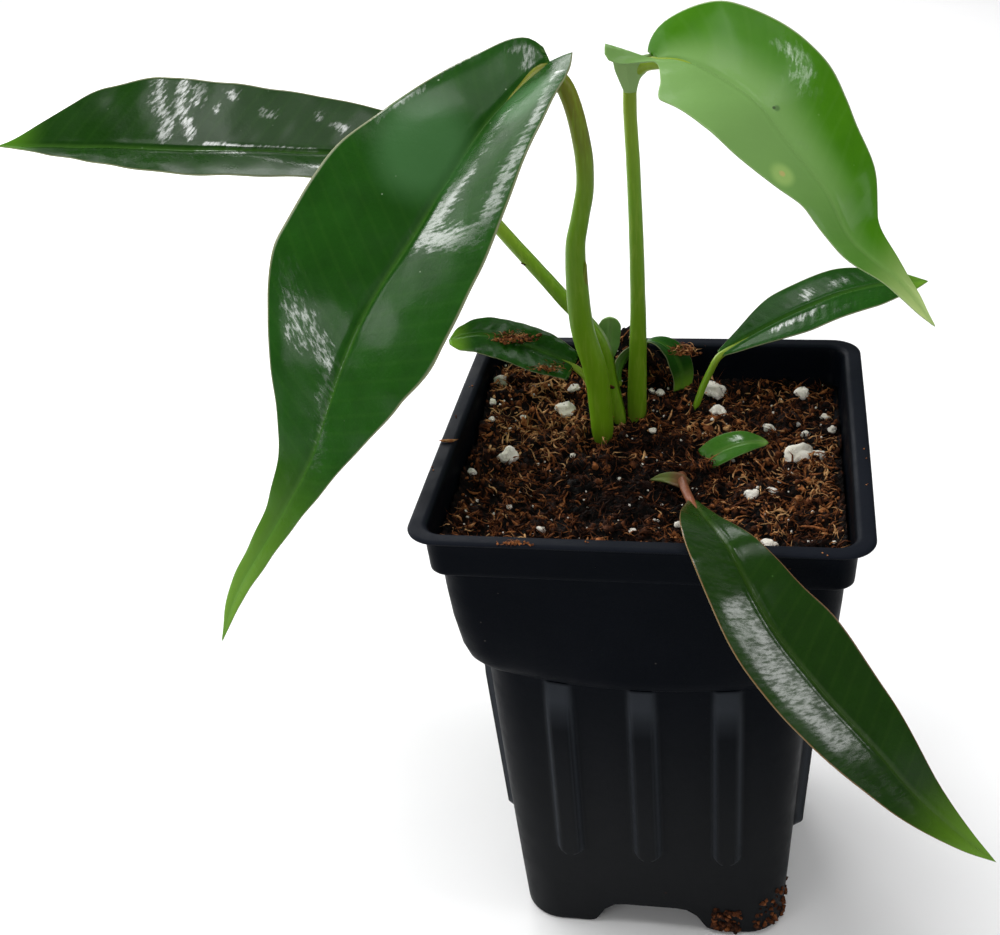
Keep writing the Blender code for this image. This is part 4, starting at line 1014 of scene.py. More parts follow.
SEEDLING_STALK = dict(
    points=[(-1.5, 19.5, STALK_FOOT), (3, 15, 110.5), (8, 9, 114.5), (11.4, 6.2, 117.4),
            (13, 6.0, 119.0), (15, 6.2, 120.7), (17, 6.4, 122.2)],
    radii=[(0, 0.8), (0.5, 0.8), (0.85, 0.7), (1, 0.3)], rings=30)
PALE_STALK = dict(
    points=[(-13.2, 28, STALK_FOOT), (-14.5, 34, 114), (-15, 39, 122), (-14.6, 41, 130),
            (-14.5, 41.3, 135)],
    radii=[(0, 1.0), (0.5, 1.0), (0.8, 0.8), (1, 0.3)], rings=30)
print("stalks and blades are measured")

# %% [markdown]
# The plant has just been watered, so a streaky film of water lies in places on the waxy
# skin of its leaves. The green is lighter along the midrib and towards the tip, and a
# thin pale or reddish line follows the margin. The back of the blade is paler and
# duller. The pebbled skin is a bump, because it is finer than the mesh, while the midrib
# and the waves are real shape.

# %% The colours and the water film of a leaf
def spot(tree, place, radius):
    """Full on a small round spot, measured along and across the leaf in millimetres."""
    here = put(tree, "ShaderNodeCombineXYZ", {0: attribute(tree, "along_mm"),
                                              1: attribute(tree, "across_mm")}).outputs[0]
    away = put(tree, "ShaderNodeVectorMath", {0: here, 1: (*place, 0.0)}, operation="DISTANCE")
    return fade(tree, away.outputs["Value"], radius, radius * 0.4)


def leaf_colour(tree, colours, veins, tip_from, midrib_light, marks):
    """From the body's green to the veins, the tip, the midrib, the margin and the marks."""
    along, across = attribute(tree, "along"), attribute(tree, "across")
    distance = attribute(tree, "from_midrib")
    cloud = use_group(tree, MOTTLE, size=9.0, contrast=1.5)
    colour = mix(tree, cloud, colours["deep"], colours["body"])
    wave = calculate(tree, "COSINE", calculate(tree, "MULTIPLY", veins, math.tau / VEIN_GAP))
    colour = mix(tree, fade(tree, wave, 0.5, 1.0, 0.0, 0.035), colour, colours["vein"])
    colour = mix(tree, fade(tree, along, tip_from, 1.0), colour, colours["tip"])
    rib = calculate(tree, "MULTIPLY", fade(tree, distance, 1.1, 0.2), midrib_light)
    colour = mix(tree, rib, colour, colours["vein"])
    edge = calculate(tree, "ABSOLUTE", across)
    colour = mix(tree, fade(tree, edge, 0.97, 1.0, 0.0, 0.75), colour, colours["margin"])
    # The milky near half of a young blade is partly its paler colour and partly painted sheen,
    # light reflected at a grazing angle.
    if "bloom_and_sheen" in colours:
        near = fade(tree, across, -0.65, -0.05)
        bloom_and_sheen = calculate(tree, "MULTIPLY", near, fade(tree, along, 0.95, 0.4, 0.0, 0.75))
        colour = mix(tree, bloom_and_sheen, colour, colours["bloom_and_sheen"])
    # Small pale specks towards the base are painted glints of water drops; on the pale leaf the
    # specks are dark marks.
    specks = use_group(tree, SPECKS, spacing=2.6, size=0.13, share=0.3)
    specks = calculate(tree, "MULTIPLY", specks, fade(tree, along, 0.5, 0.3, 0.15, 0.9))
    colour = mix(tree, specks, colour, colours["speck_and_glint"])
    for place, radius, mark in marks:
        colour = mix(tree, spot(tree, place, radius), colour, tone(*mark))
    pale = mix(tree, fade(tree, distance, 1.6, 0.3), colours["below"], colours["vein"])
    return mix(tree, attribute(tree, "below"), colour, pale)


def water_film(tree, veins, least, film):
    """The coat's weight: streaks along the side veins, full where the leaf is wet."""
    long_way = calculate(tree, "MULTIPLY", attribute(tree, "across_mm"), 0.4)
    grid = put(tree, "ShaderNodeCombineXYZ", {0: veins, 1: long_way}).outputs[0]
    streaks = put(tree, "ShaderNodeTexNoise", {"Vector": grid, "Scale": 1.1, "Detail": 4.0,
                                               "Roughness": 0.65})
    strength = calculate(tree, "MULTIPLY_ADD", streaks.outputs["Fac"], 3.2, -1.1, clamp=True)
    ragged = calculate(tree, "MULTIPLY_ADD", strength, 0.85, attribute(tree, "wet"))
    return fade(tree, ragged, 0.8, 1.5, least, film)


# %% [markdown]
# All leaves share one finish. They differ in their colours, in how far the light tip
# reaches, and in how wet and how rough they are.

# %% Leaf finish
def make_leaf_finish(name, colours, gloss=0.2, tip_from=0.6, pebble=0.9, wrinkle=2.4, depth=0.00012,
                     midrib_light=0.35, film=0.8, least=0.06, marks=()):
    made, tree, sockets = new_material(name, gloss, Specular_IOR_Level=0.03, Coat_Roughness=0.17,
                                       Coat_IOR=2.0)
    colours = {part: tone(*values) for part, values in colours.items()}
    veins = calculate(tree, "MULTIPLY_ADD", attribute(tree, "from_midrib"), VEIN_SLANT,
                      attribute(tree, "along_mm"))
    colour = leaf_colour(tree, colours, veins, tip_from, midrib_light, marks)
    tree.links.new(colour, sockets["Base Color"])
    haze = use_group(tree, MOTTLE, size=6.0, contrast=2.0)
    rough = fade(tree, haze, 0.2, 0.8, gloss * 0.75, gloss * 1.35)
    dull = put(tree, "ShaderNodeMix", {0: attribute(tree, "below"), 2: rough, 3: 0.5},
               data_type="FLOAT").outputs[0]
    tree.links.new(dull, sockets["Roughness"])
    tree.links.new(water_film(tree, veins, least, film), sockets["Coat Weight"])
    skin = use_group(tree, SKIN, pebble=pebble, wrinkle=wrinkle, wrinkle_share=1.1)
    bump_into(tree, sockets, skin, depth)
    return made


# The pale speck tones of these sets are painted glints of water drops; the pale leaf's speck tone
# is a dark mark.
DARK = dict(body=(33, 80, 19), deep=(23, 61, 13), vein=(80, 126, 46), tip=(104, 148, 42),
            margin=(150, 150, 118), speck_and_glint=(176, 196, 166), below=(96, 132, 70))
# The young blade's milky tone is partly paler colour and partly painted sheen.
YOUNG = dict(body=(68, 124, 16), deep=(54, 108, 10), vein=(120, 160, 84),
             tip=(190, 212, 134), margin=(170, 184, 138), speck_and_glint=(120, 156, 84),
             below=(146, 176, 124), bloom_and_sheen=(126, 164, 96))
FAR = dict(DARK, body=(28, 66, 13), deep=(20, 52, 9), tip=(80, 132, 26))
OLIVE = dict(body=(29, 60, 11), deep=(20, 46, 8), vein=(78, 108, 40), tip=(100, 146, 26),
             margin=(150, 110, 78), speck_and_glint=(60, 96, 44), below=(104, 128, 78))
SEEDLING = dict(body=(66, 114, 36), deep=(48, 96, 26), vein=(112, 150, 74), tip=(104, 140, 60),
                margin=(120, 146, 84), speck_and_glint=(80, 120, 60), below=(96, 132, 70))
PALE = dict(body=(120, 160, 92), deep=(92, 136, 70), vein=(150, 180, 120), tip=(130, 166, 100),
            margin=(140, 150, 110), speck_and_glint=(60, 90, 50), below=(130, 160, 110))
YOUNG_LONG = Route(YOUNG_LEAF["midrib"]).length
YOUNG_MARKS = (((0.356 * YOUNG_LONG, -2.6), 0.9, (84, 118, 66)),
               ((0.351 * YOUNG_LONG, -2.1), 0.5, (60, 82, 44)),
               ((0.5 * YOUNG_LONG, 7.6), 3.4, (142, 176, 98)),
               ((0.497 * YOUNG_LONG, 7.5), 0.9, (176, 168, 104)))
LARGE_LONG = Route(LARGE_LEAF["midrib"]).length
# Two broad pale patches on the large leaf are a painted sheen, soft light reflected by its upper
# face.
PAINTED_SHEEN = (60, 102, 56)
PAINTED_SHEEN_MARKS = (((0.2 * LARGE_LONG, 9.0), 15.0, PAINTED_SHEEN), ((0.09 * LARGE_LONG, -8.0), 9.0, PAINTED_SHEEN))
LEAF_DARK = make_leaf_finish("leaf_dark", DARK, gloss=0.28, depth=0.00006, midrib_light=0.3,
                             marks=PAINTED_SHEEN_MARKS)
LEAF_FAR = make_leaf_finish("leaf_far_left", FAR, gloss=0.28, tip_from=0.88, depth=0.00006)
LEAF_FRONT = make_leaf_finish("leaf_front", OLIVE, gloss=0.3, tip_from=0.75, depth=0.00009,
                              midrib_light=0.2, film=0.45, least=0.1)
LEAF_YOUNG = make_leaf_finish("leaf_young", YOUNG, gloss=0.4, tip_from=0.74, depth=0.00004,
                              film=0.4, least=0.04, marks=YOUNG_MARKS)
# The funnel's milky tone is the same mix of paler colour and painted sheen.
LEAF_FUNNEL = make_leaf_finish("leaf_funnel", dict(YOUNG, bloom_and_sheen=(164, 192, 132)), gloss=0.4,
                               least=0.04)
LEAF_SMALL = make_leaf_finish("leaf_small", DARK, gloss=0.3, tip_from=0.8, pebble=0.6, wrinkle=1.6)
LEAF_SEEDLING = make_leaf_finish("leaf_seedling", SEEDLING, gloss=0.3, tip_from=0.8, pebble=0.6)
LEAF_PALE = make_leaf_finish("leaf_pale", PALE, gloss=0.4, depth=0.00005)

# %% Stalk finish
def make_stalk_finish(name, low, high, streak, turn_from=0.55, turn_to=0.8):
    """A stalk's material: one tone at the foot, another at the top, and fine streaks."""
    made, tree, sockets = new_material(name, 0.36, Specular_IOR_Level=0.2)
    low, high, streak = tone(*low), tone(*high), tone(*streak)
    along = attribute(tree, "along")
    colour = mix(tree, fade(tree, along, turn_from, turn_to), low, high)
    place = put(tree, "ShaderNodeTexCoord").outputs["Object"]
    stretched = put(tree, "ShaderNodeMapping", {0: place, 3: (1.0, 1.0, 0.12)}).outputs[0]
    fibre = put(tree, "ShaderNodeTexNoise", {"Vector": stretched, "Scale": 1400.0, "Detail": 3.0})
    stripes = fade(tree, fibre.outputs["Fac"], 0.45, 0.75, 0.0, 0.5)
    colour = mix(tree, stripes, colour, streak)
    cloud = use_group(tree, MOTTLE, size=7.0, contrast=1.5)
    colour = mix(tree, calculate(tree, "MULTIPLY", cloud, 0.25), colour, streak)
    base = fade(tree, along, 0.16, 0.06)
    colour = mix(tree, calculate(tree, "MULTIPLY", base, 0.5), colour, tone(70, 60, 26))
    marks = use_group(tree, SPECKS, spacing=3.0, size=0.08, share=0.25)
    colour = mix(tree, calculate(tree, "MULTIPLY", marks, 0.6), colour, tone(60, 56, 22))
    tree.links.new(colour, sockets["Base Color"])
    tree.links.new(fade(tree, fibre.outputs["Fac"], 0.2, 0.8, 0.28, 0.44), sockets["Roughness"])
    bump_into(tree, sockets, fibre.outputs["Fac"], 0.00006)
    return made


STALK_LARGE = make_stalk_finish("stalk_large", (100, 146, 14), (110, 108, 32), (130, 162, 46))
STALK_GREEN = make_stalk_finish("stalk_green", (98, 142, 16), (130, 154, 46), (138, 164, 54))
STALK_BROWN = make_stalk_finish("stalk_brown", (96, 64, 40), (84, 100, 44), (104, 92, 50), 0.3, 0.6)
STALK_RED = make_stalk_finish("stalk_red", (96, 56, 36), (132, 74, 52), (150, 96, 64))

# %% The leaves, grown in place
for name, stalk, stalk_finish, stalk_slot, leaf, leaf_finish, leaf_slot in (
        ("large_leaf", LARGE_STALK, STALK_LARGE, "stalk_green",
         LARGE_LEAF, LEAF_DARK, "leaf_dark"),
        ("young_leaf", YOUNG_STALK, STALK_GREEN, "stalk_green",
         YOUNG_LEAF, LEAF_YOUNG, "leaf_young"),
        ("far_left_leaf", FAR_LEFT_STALK, STALK_GREEN, "stalk_green",
         FAR_LEFT_LEAF, LEAF_FAR, "leaf_dark"),
        ("right_leaf", RIGHT_STALK, STALK_GREEN, "stalk_green",
         RIGHT_LEAF, LEAF_SMALL, "leaf_dark"),
        ("front_leaf", FRONT_STALK, STALK_RED, "stalk_red",
         FRONT_LEAF, LEAF_FRONT, "leaf_dark")):
    finish(make_stalk("stalk_of_" + name, stalk), stalk_finish, stalk_slot, "petiole_" + name)
    finish(make_leaf("blade_of_" + name, leaf), leaf_finish, leaf_slot, "blade_" + name)
finish(make_leaf("sheath_of_large_leaf", SHEATH), STALK_LARGE, "stalk_green")
# The funnel is part of the young blade, so it takes the colours of that blade's base.
funnel = make_leaf("funnel_of_young_leaf", YOUNG_FUNNEL)
for name, value in (("across", 0.5), ("along", 0.1), ("from_midrib", 5.0)):
    funnel.data.attributes[name].data.foreach_set("value", [value] * len(funnel.data.vertices))
finish(funnel, LEAF_FUNNEL, "leaf_young")
finish(make_leaf("sheath_of_front_leaf", FRONT_SHEATH), STALK_BROWN, "stalk_red")
for name, stalk, leaf, leaf_finish, slot in (
        ("back_left_leaf", BACK_LEFT_STALK, BACK_LEFT_LEAF, LEAF_SMALL, "leaf_dark"),
        ("curled_leaf", CURLED_STALK, CURLED_LEAF, LEAF_SMALL, "leaf_dark"),
        ("seedling_leaf", SEEDLING_STALK, SEEDLING_LEAF, LEAF_SEEDLING, "leaf_dark"),
        ("pale_leaf", PALE_STALK, PALE_LEAF, LEAF_PALE, "leaf_young")):
    finish(make_stalk("stalk_of_" + name, stalk), STALK_GREEN, "stalk_green")
    finish(make_leaf("blade_of_" + name, leaf), leaf_finish, slot, name)

# %% [markdown]
# The potting mix is coco fibre and peat with white perlite in it. Its body is a closed
# block whose top is a fine grid, raised and sunk by several sizes of noise. On it lie
# thousands of loose strands, chips and crumbs. A particle system could scatter them,
# but here each copy is set on the ground by its own small matrix, which is quick and
# gives the same heap each time.

# %% The ground
SOIL_HALF = 45.4
SOIL_LEVEL = 121.0
GROUND_CELLS = 200
GROUND_CORNER = 3.2
SOIL_BODY = ((121.4, 45.3, 3.2), (120.0, 43.8, 5.6), (104, 42.5, 6.2), (92, 41.0, 8.0),
             (86, 37.4, 9.5), (50, 35.4, 9.3), (10, 33.2, 9.0))


def soil_height(x, y):
    """The broad shape: heaped behind the stems and a little higher along the wall."""
    heap = 13.5 * bump(math.hypot((x + 10) / 1.2, y - 46), 7.0)
    left = 3.4 * bump(math.hypot(x + 40, y - 36), 17.0)
    dip = 1.6 * bump(math.hypot(x - 9, (y + 15) / 1.2), 8.0)
    dip += 2.0 * bump(math.hypot(x - 1, y - 21), 5.0)
    wall = 4.2 * (max(abs(x), abs(y)) / 45.5) ** 5 * smooth_step(60.0, 0.0, x + 0.7 * y - 20)
    rough = 1.6 * noise.noise(Vector((x, y, 0)) * 0.09)
    rough += 1.9 * noise.noise(Vector((x, y, 30)) * 0.2)
    return SOIL_LEVEL + heap + left + wall - dip + rough


def crumble(x, y):
    """The fine shape: lumps with dark gaps between them, and a rough skin."""
    shift_x, shift_y = (1.2 * noise.noise(Vector((x, y, layer)) * 0.5) for layer in (5, 9))
    bent = Vector((x + shift_x, y + shift_y, 0))
    near = noise.voronoi(bent * 0.42)[0]
    lump = 2.4 * min(near[1] - near[0], 0.6)
    small = noise.voronoi(bent * 1.05 + Vector((7, 3, 0)))[0]
    grit = 0.7 * min(small[1] - small[0], 0.5)
    rough = 0.7 * noise.noise(Vector((x, y, 3)) * 0.7)
    rough += 0.35 * noise.noise(Vector((x, y, 11)) * 1.7)
    return lump + grit + rough - 1.1


def on_outline(x, y, half, corner):
    """The point in this direction on a square with round corners."""
    low, high = 0.0, 2.0
    for _ in range(24):
        share = (low + high) / 2
        over_x = max(abs(x * share) - (half - corner), 0.0)
        over_y = max(abs(y * share) - (half - corner), 0.0)
        if math.hypot(over_x, over_y) < corner:
            low = share
        else:
            high = share
    return x * low, y * low


def dry_patches_and_painted_light(x, y):
    """Brighter at the back left, partly tan fibre and partly painted light where the leaves shade
    the soil; brighter on the right and darker in the middle.
    """
    dry = 0.42 * bump(math.hypot(x + 32, y - 30), 15.0)
    dry += 0.3 * bump(math.hypot(x - 34, y + 6), 20.0)
    return dry - 0.5 * bump(math.hypot(x + 4, y + 12), 20.0)


def make_ground():
    deselect()
    bpy.ops.mesh.primitive_grid_add(x_subdivisions=GROUND_CELLS, y_subdivisions=GROUND_CELLS,
                                    size=2 * SOIL_HALF * MM, location=POT_AXIS)
    piece = bpy.context.object
    piece.name = piece.data.name = "potting_mix"
    bpy.ops.object.transform_apply(location=True)
    rise = []
    for vertex in piece.data.vertices:
        place = (vertex.co - POT_AXIS) / MM
        over_x = max(abs(place.x) - (SOIL_HALF - GROUND_CORNER), 0.0)
        over_y = max(abs(place.y) - (SOIL_HALF - GROUND_CORNER), 0.0)
        if over_x > 0 and over_y > 0:
            pull = max(over_x, over_y) / math.hypot(over_x, over_y)
            place.x = math.copysign(SOIL_HALF - GROUND_CORNER + over_x * pull, place.x)
            place.y = math.copysign(SOIL_HALF - GROUND_CORNER + over_y * pull, place.y)
        fine = crumble(place.x, place.y)
        vertex.co = POT_AXIS + Vector((place.x, place.y, soil_height(place.x, place.y) + fine)) * MM
        # The colour follows the fine height, so the gaps between lumps are painted darker as shade;
        # the broad shift adds painted light at the back left.
        rise.append(fine + 0.7 * dry_patches_and_painted_light(place.x, place.y))
    set_attribute(piece, "rise", rise)
    bpy.ops.object.mode_set(mode="EDIT")
    bpy.ops.mesh.select_all(action="SELECT")
    bpy.ops.mesh.region_to_loop()
    for height, half, corner in SOIL_BODY:
        bpy.ops.mesh.extrude_region_move()
        form = bmesh.from_edit_mesh(piece.data)
        for vertex in form.verts:
            if vertex.select:
                place = (vertex.co - POT_AXIS) / MM
                x, y = on_outline(place.x, place.y, half, corner)
                vertex.co = POT_AXIS + Vector((x, y, height)) * MM
        bmesh.update_edit_mesh(piece.data)
    bpy.ops.mesh.edge_face_add()
    bpy.ops.mesh.select_all(action="SELECT")
    bpy.ops.mesh.normals_make_consistent(inside=False)
    bpy.ops.object.mode_set(mode="OBJECT")
    bpy.ops.object.shade_smooth()
    return piece


# %% Soil finishes
SOIL_TONES = ((0.0, (7, 4, 3)), (0.28, (38, 19, 11)), (0.52, (100, 56, 31)), (0.76, (170, 106, 60)),
              (1.0, (226, 178, 122)))


def make_soil_finish(name, source, spread, light=1.0):
    """Colours from near black to dry orange fibre, chosen by an attribute; the darkest tones fall
    in the gaps between lumps as painted shade.
    """
    made, tree, sockets = new_material(name, 0.85, Specular_IOR_Level=0.1)
    cloud = use_group(tree, MOTTLE, size=1.6, contrast=1.8)
    broad = use_group(tree, MOTTLE, size=16.0, contrast=1.6)
    mixed = calculate(tree, "MULTIPLY_ADD", attribute(tree, source), spread,
                      calculate(tree, "MULTIPLY", cloud, 0.45))
    mixed = calculate(tree, "ADD", mixed, calculate(tree, "MULTIPLY_ADD", broad, 0.3, -0.15))
    ramp = put(tree, "ShaderNodeValToRGB", {0: mixed})
    for position, _ in SOIL_TONES[1:-1]:
        ramp.color_ramp.elements.new(position)
    for element, (position, colour) in zip(ramp.color_ramp.elements, SOIL_TONES):
        element.position = position
        element.color = tuple(min(1.0, part * light) for part in tone(*colour)[:3]) + (1.0,)
    tree.links.new(ramp.outputs[0], sockets["Base Color"])
    damp = use_group(tree, MOTTLE, size=2.5, contrast=2.5)
    tree.links.new(fade(tree, damp, 0.0, 1.0, 0.6, 0.95), sockets["Roughness"])
    grain = use_group(tree, SKIN, pebble=0.3, wrinkle=0.9, wrinkle_share=1.5)
    bump_into(tree, sockets, grain, 0.0004)
    return made


SOIL_GROUND = make_soil_finish("soil_ground", "rise", 0.42, 0.75)
SOIL_LOOSE = make_soil_finish("soil_loose", "tint", 0.75)
finish(make_ground(), SOIL_GROUND, "soil_mix", "soil")

# %% [markdown]
# Loose pieces are modelled once and copied. A strand is a thin triangular tube along an
# arc, a chip is a flat splinter, and a crumb is an uneven lump. All copies of a kind
# end up in one mesh, with a tint of their own for each.

# %% Templates for the loose pieces
def plain_mesh(piece):
    """Points in millimetres about the pot's axis, and faces, of a piece that is then removed."""
    points = [(vertex.co - POT_AXIS) / MM for vertex in piece.data.vertices]
    faces = [tuple(face.vertices) for face in piece.data.polygons]
    bpy.data.objects.remove(piece)
    return points, faces


def strand(bend, twist, radius):
    """One curved strand of length 1 along X."""
    rings = []
    for number in range(5):
        share = number / 4
        middle = Vector((share - 0.5, bend * (share - 0.5) ** 2 * 2,
                         twist * math.sin(share * 5) * 0.2))
        thin = radius * (1 - 0.5 * abs(2 * share - 1))
        rings.append([middle + thin * Vector((0, math.cos(turn), math.sin(turn)))
                      for turn in (math.tau * step / 3 for step in range(3))])
    rings = [[rings[0][0]] * 3] + rings[1:-1] + [[rings[-1][0]] * 3]
    return plain_mesh(draw_out("strand", rings))


def lump(seed, flat=1.0, detail=1):
    deselect()
    bpy.ops.mesh.primitive_ico_sphere_add(subdivisions=detail, radius=0.5 * MM, location=POT_AXIS)
    bpy.ops.object.transform_apply(location=True)
    piece = bpy.context.object
    for vertex in piece.data.vertices:
        out = (vertex.co - POT_AXIS) / MM
        out *= 1 + 0.8 * noise.noise(out * 2.2 + Vector((seed * 3.1, 0, 0)))
        vertex.co = POT_AXIS + Vector((out.x, out.y, out.z * flat)) * MM
    return plain_mesh(piece)


STRANDS = [strand(*row) for row in (
    (0.2, 0.1, 0.035), (0.6, 0.3, 0.03), (-0.9, 0.5, 0.035), (1.3, -0.4, 0.03), (0.4, -0.7, 0.045),
    (-0.3, 0.9, 0.05))]
CHIPS = [strand(*row) for row in ((0.1, 0.1, 0.12), (-0.3, 0.3, 0.16), (0.4, -0.2, 0.1))]
CRUMBS = [lump(seed) for seed in range(5)]
LUMPS = [lump(seed + 9, 0.8, 2) for seed in range(4)]
print("templates:", len(STRANDS + CHIPS + CRUMBS + LUMPS))


# %% Scatter them
STRAND_COUNT, LONG_COUNT = 7400, 220


def ground(x, y):
    return soil_height(x, y) + crumble(x, y)


def settle(draw, x, y, lift, lean=14.0):
    """A matrix that lays a copy on the ground, turned at random."""
    slope_x = (soil_height(x + 1, y) - soil_height(x - 1, y)) / 2
    slope_y = (soil_height(x, y + 1) - soil_height(x, y - 1)) / 2
    upright = Vector((-slope_x, -slope_y, 1)).to_track_quat("Z", "Y").to_matrix().to_4x4()
    tilt = Matrix.Rotation(math.radians(draw.gauss(0, lean)), 4, "Y")
    turn = Matrix.Rotation(draw.uniform(0, math.tau), 4, "Z")
    roll = Matrix.Rotation(draw.uniform(-0.8, 0.8), 4, "X")
    return Matrix.Translation((x, y, ground(x, y) + lift)) @ upright @ turn @ tilt @ roll


def copies(name, draws):
    """One mesh from (template, matrix, tint) for each copy."""
    points, faces, tints = [], [], []
    for (shape, loops), matrix, tint in draws:
        first = len(points)
        points.extend(POT_AXIS + (matrix @ point) * MM for point in shape)
        faces.extend(tuple(first + index for index in loop) for loop in loops)
        tints.extend([tint] * len(shape))
    mesh = bpy.data.meshes.new(name)
    mesh.from_pydata(points, [], faces)
    piece = bpy.data.objects.new(name, mesh)
    bpy.context.scene.collection.objects.link(piece)
    mesh.shade_smooth()
    set_attribute(piece, "tint", tints)
    return piece


def inside_pot(draw, reach=44.6):
    return draw.uniform(-reach, reach), draw.uniform(-reach, reach)


def scale_of(*sizes):
    return Matrix.Diagonal((*sizes, 1.0))


def patch(x, y):
    """Orange patches and dark ones, a centimetre or two across, with darker tones in the gaps
    between lumps as painted shade and the broad shift of painted light and dry fibre.
    """
    return 0.38 * noise.noise(Vector((x, y, 60)) * 0.12) + 0.24 * crumble(x, y) + dry_patches_and_painted_light(x, y)


def tinted(draw, x, y, middle, spread):
    """A tint between 0 and 1 for a copy at this place."""
    return min(max(patch(x, y) + draw.gauss(middle, spread), 0.0), 1.0)


def loose_strands():
    """Many short strands, fewer of them in the gaps, after the first long ones."""
    draw = random.Random(11)
    draws = []
    for number in range(STRAND_COUNT):
        x, y = inside_pot(draw, 43.9)
        if crumble(x, y) < -0.35 and draw.random() < 0.6:
            continue
        if number > LONG_COUNT:
            long, thick = min(draw.lognormvariate(0.95, 0.45), 7.0), draw.uniform(3.2, 8.0)
        else:
            long, thick = draw.uniform(6.0, 11.0), draw.uniform(4.0, 7.0)
        matrix = settle(draw, x, y, draw.uniform(-0.4, 0.9), 22.0) @ scale_of(long, long, thick)
        matrix = matrix @ scale_of(1, thick / long, 1) if draw.random() < 0.3 else matrix
        draws.append((draw.choice(STRANDS), matrix, tinted(draw, x, y, 0.47, 0.3)))
    return copies("coco_strands", draws)


def loose_crumbs():
    """Crumbs, lumps and chips, each kind with its own size, shape, lift, lean and tint."""
    draw = random.Random(5)
    draws = []
    for count, kinds, reach, sizes, shape, lifts, lean, tint, spread in (
            (2600, CRUMBS, 44.6, (0.5, 1.4), (1, 0.8, 0.7), (-0.2, 0.3), 60, 0.4, 0.25),
            (260, LUMPS, 43.5, (1.6, 3.2), (1, 0.8, 0.7), (-0.5, 0.2), 40, 0.3, 0.2),
            (1500, CHIPS, 43.5, (1.5, 4.0), (1, 1, 0.4), (-0.2, 0.8), 30, 0.5, 0.25)):
        for _ in range(count):
            x, y = inside_pot(draw, reach)
            size = draw.uniform(*sizes)
            matrix = settle(draw, x, y, draw.uniform(*lifts), lean)
            matrix = matrix @ scale_of(*(size * part for part in shape))
            draws.append((draw.choice(kinds), matrix, tinted(draw, x, y, tint, spread)))
    return copies("coco_crumbs", draws)


finish(loose_strands(), SOIL_LOOSE, "soil_mix")
finish(loose_crumbs(), SOIL_LOOSE, "soil_mix")

# %% [markdown]
# Perlite is volcanic glass blown up like popcorn: white, knobbly and full of tiny
# holes, with brown dust in them. Each large grain is its own small lump, shaped by
# noise. The places are those of the grains that lie on this pot's soil.

# %% Perlite
# Each row is a place on the soil and a width, in millimetres.
PERLITE = [(-43.4, 34.2, 3.5), (-43.8, 23.8, 2.1), (-35.4, 20.3, 1.4), (-42.6, 15.1, 1.6),
           (-38.1, 16.2, 2.0), (-25.2, 26.7, 5.0), (-43.6, -8.0, 2.2), (-35.9, 0.2, 5.4),
           (-8.0, -2.5, 1.2), (-1.6, 19.2, 2.1), (-0.7, 36.0, 2.4), (-3.0, 36.4, 1.9),
           (13.5, 37.6, 5.2), (14.7, 28.8, 4.4), (11.8, 19.5, 2.0), (27.7, 23.2, 3.0),
           (35.0, 22.5, 1.5), (36.3, 41.6, 1.8), (36.1, 36.9, 4.1), (41.9, 27.6, 2.2),
           (37.0, 18.8, 2.2), (43.6, 20.3, 2.4), (35.3, 6.6, 7.0), (39.6, 7.4, 3.2),
           (33.1, -1.9, 1.4), (24.3, -10.8, 3.6), (28.9, -9.5, 2.6), (28.5, -30.9, 3.4),
           (42.6, -33.5, 1.1), (-23.7, -28.1, 2.3), (-2.5, -27.8, 2.0), (7.6, -22.1, 2.2),
           (-20.5, 5.5, 1.8), (-32.4, -20.5, 1.4), (-42.1, -24.8, 1.0), (-40.4, -19.2, 0.9),
           (-2.0, -12.5, 1.1), (16.6, -1.9, 1.1), (19.5, 6.1, 1.1), (30.5, -6.6, 1.1),
           (-23.9, 35.9, 3.0), (-35.8, -22.7, 1.3)]


def grain(number, x, y, size):
    deselect()
    bpy.ops.mesh.primitive_ico_sphere_add(subdivisions=4 if size > 2.8 else 3,
                                          radius=0.5 * size * MM, location=POT_AXIS)
    bpy.ops.object.transform_apply(location=True)
    piece = bpy.context.object
    draw = random.Random(number)
    stretch = Vector((draw.uniform(0.85, 1.15), draw.uniform(0.75, 1.05), draw.uniform(0.65, 0.85)))
    turn = Matrix.Rotation(draw.uniform(-0.6, 0.6), 3, "Z")
    centre = POT_AXIS + Vector((x, y, ground(x, y) + 0.22 * size)) * MM
    for vertex in piece.data.vertices:
        out = (vertex.co - POT_AXIS) / MM
        out *= 1 + 0.5 * noise.noise(out * 2.2 / size + Vector((number * 2.7, 0, 0)))
        out *= 1 + 0.12 * noise.noise(out * 2.0 + Vector((0, number, 0)))
        pits = noise.voronoi(out * 1.5 + Vector((0, 0, number)))[0][0]
        out *= 1 - 0.05 * bump(pits, 0.3)
        vertex.co = centre + turn @ (out * stretch) * MM
    bpy.ops.object.shade_smooth()
    return piece


def make_perlite_finish():
    made, tree, sockets = new_material("perlite_white", 0.8, Specular_IOR_Level=0.3)
    cloud = use_group(tree, MOTTLE, size=2.0, contrast=1.6)
    colour = mix(tree, cloud, tone(252, 249, 242), tone(228, 219, 202))
    pits = use_group(tree, SPECKS, spacing=0.8, size=0.28, share=0.5)
    colour = mix(tree, calculate(tree, "MULTIPLY", pits, 0.85), colour, tone(64, 44, 30))
    tree.links.new(colour, sockets["Base Color"])
    tree.links.new(fade(tree, cloud, 0.0, 1.0, 0.7, 0.92), sockets["Roughness"])
    skin = use_group(tree, SKIN, pebble=0.25, wrinkle=0.8, wrinkle_share=1.2)
    bump_into(tree, sockets, skin, 0.0003)
    return made


PERLITE_WHITE = make_perlite_finish()
grains = [grain(number, *row) for number, row in enumerate(PERLITE)]
finish(join(grains, "perlite_grains"), PERLITE_WHITE, "soil_mix")


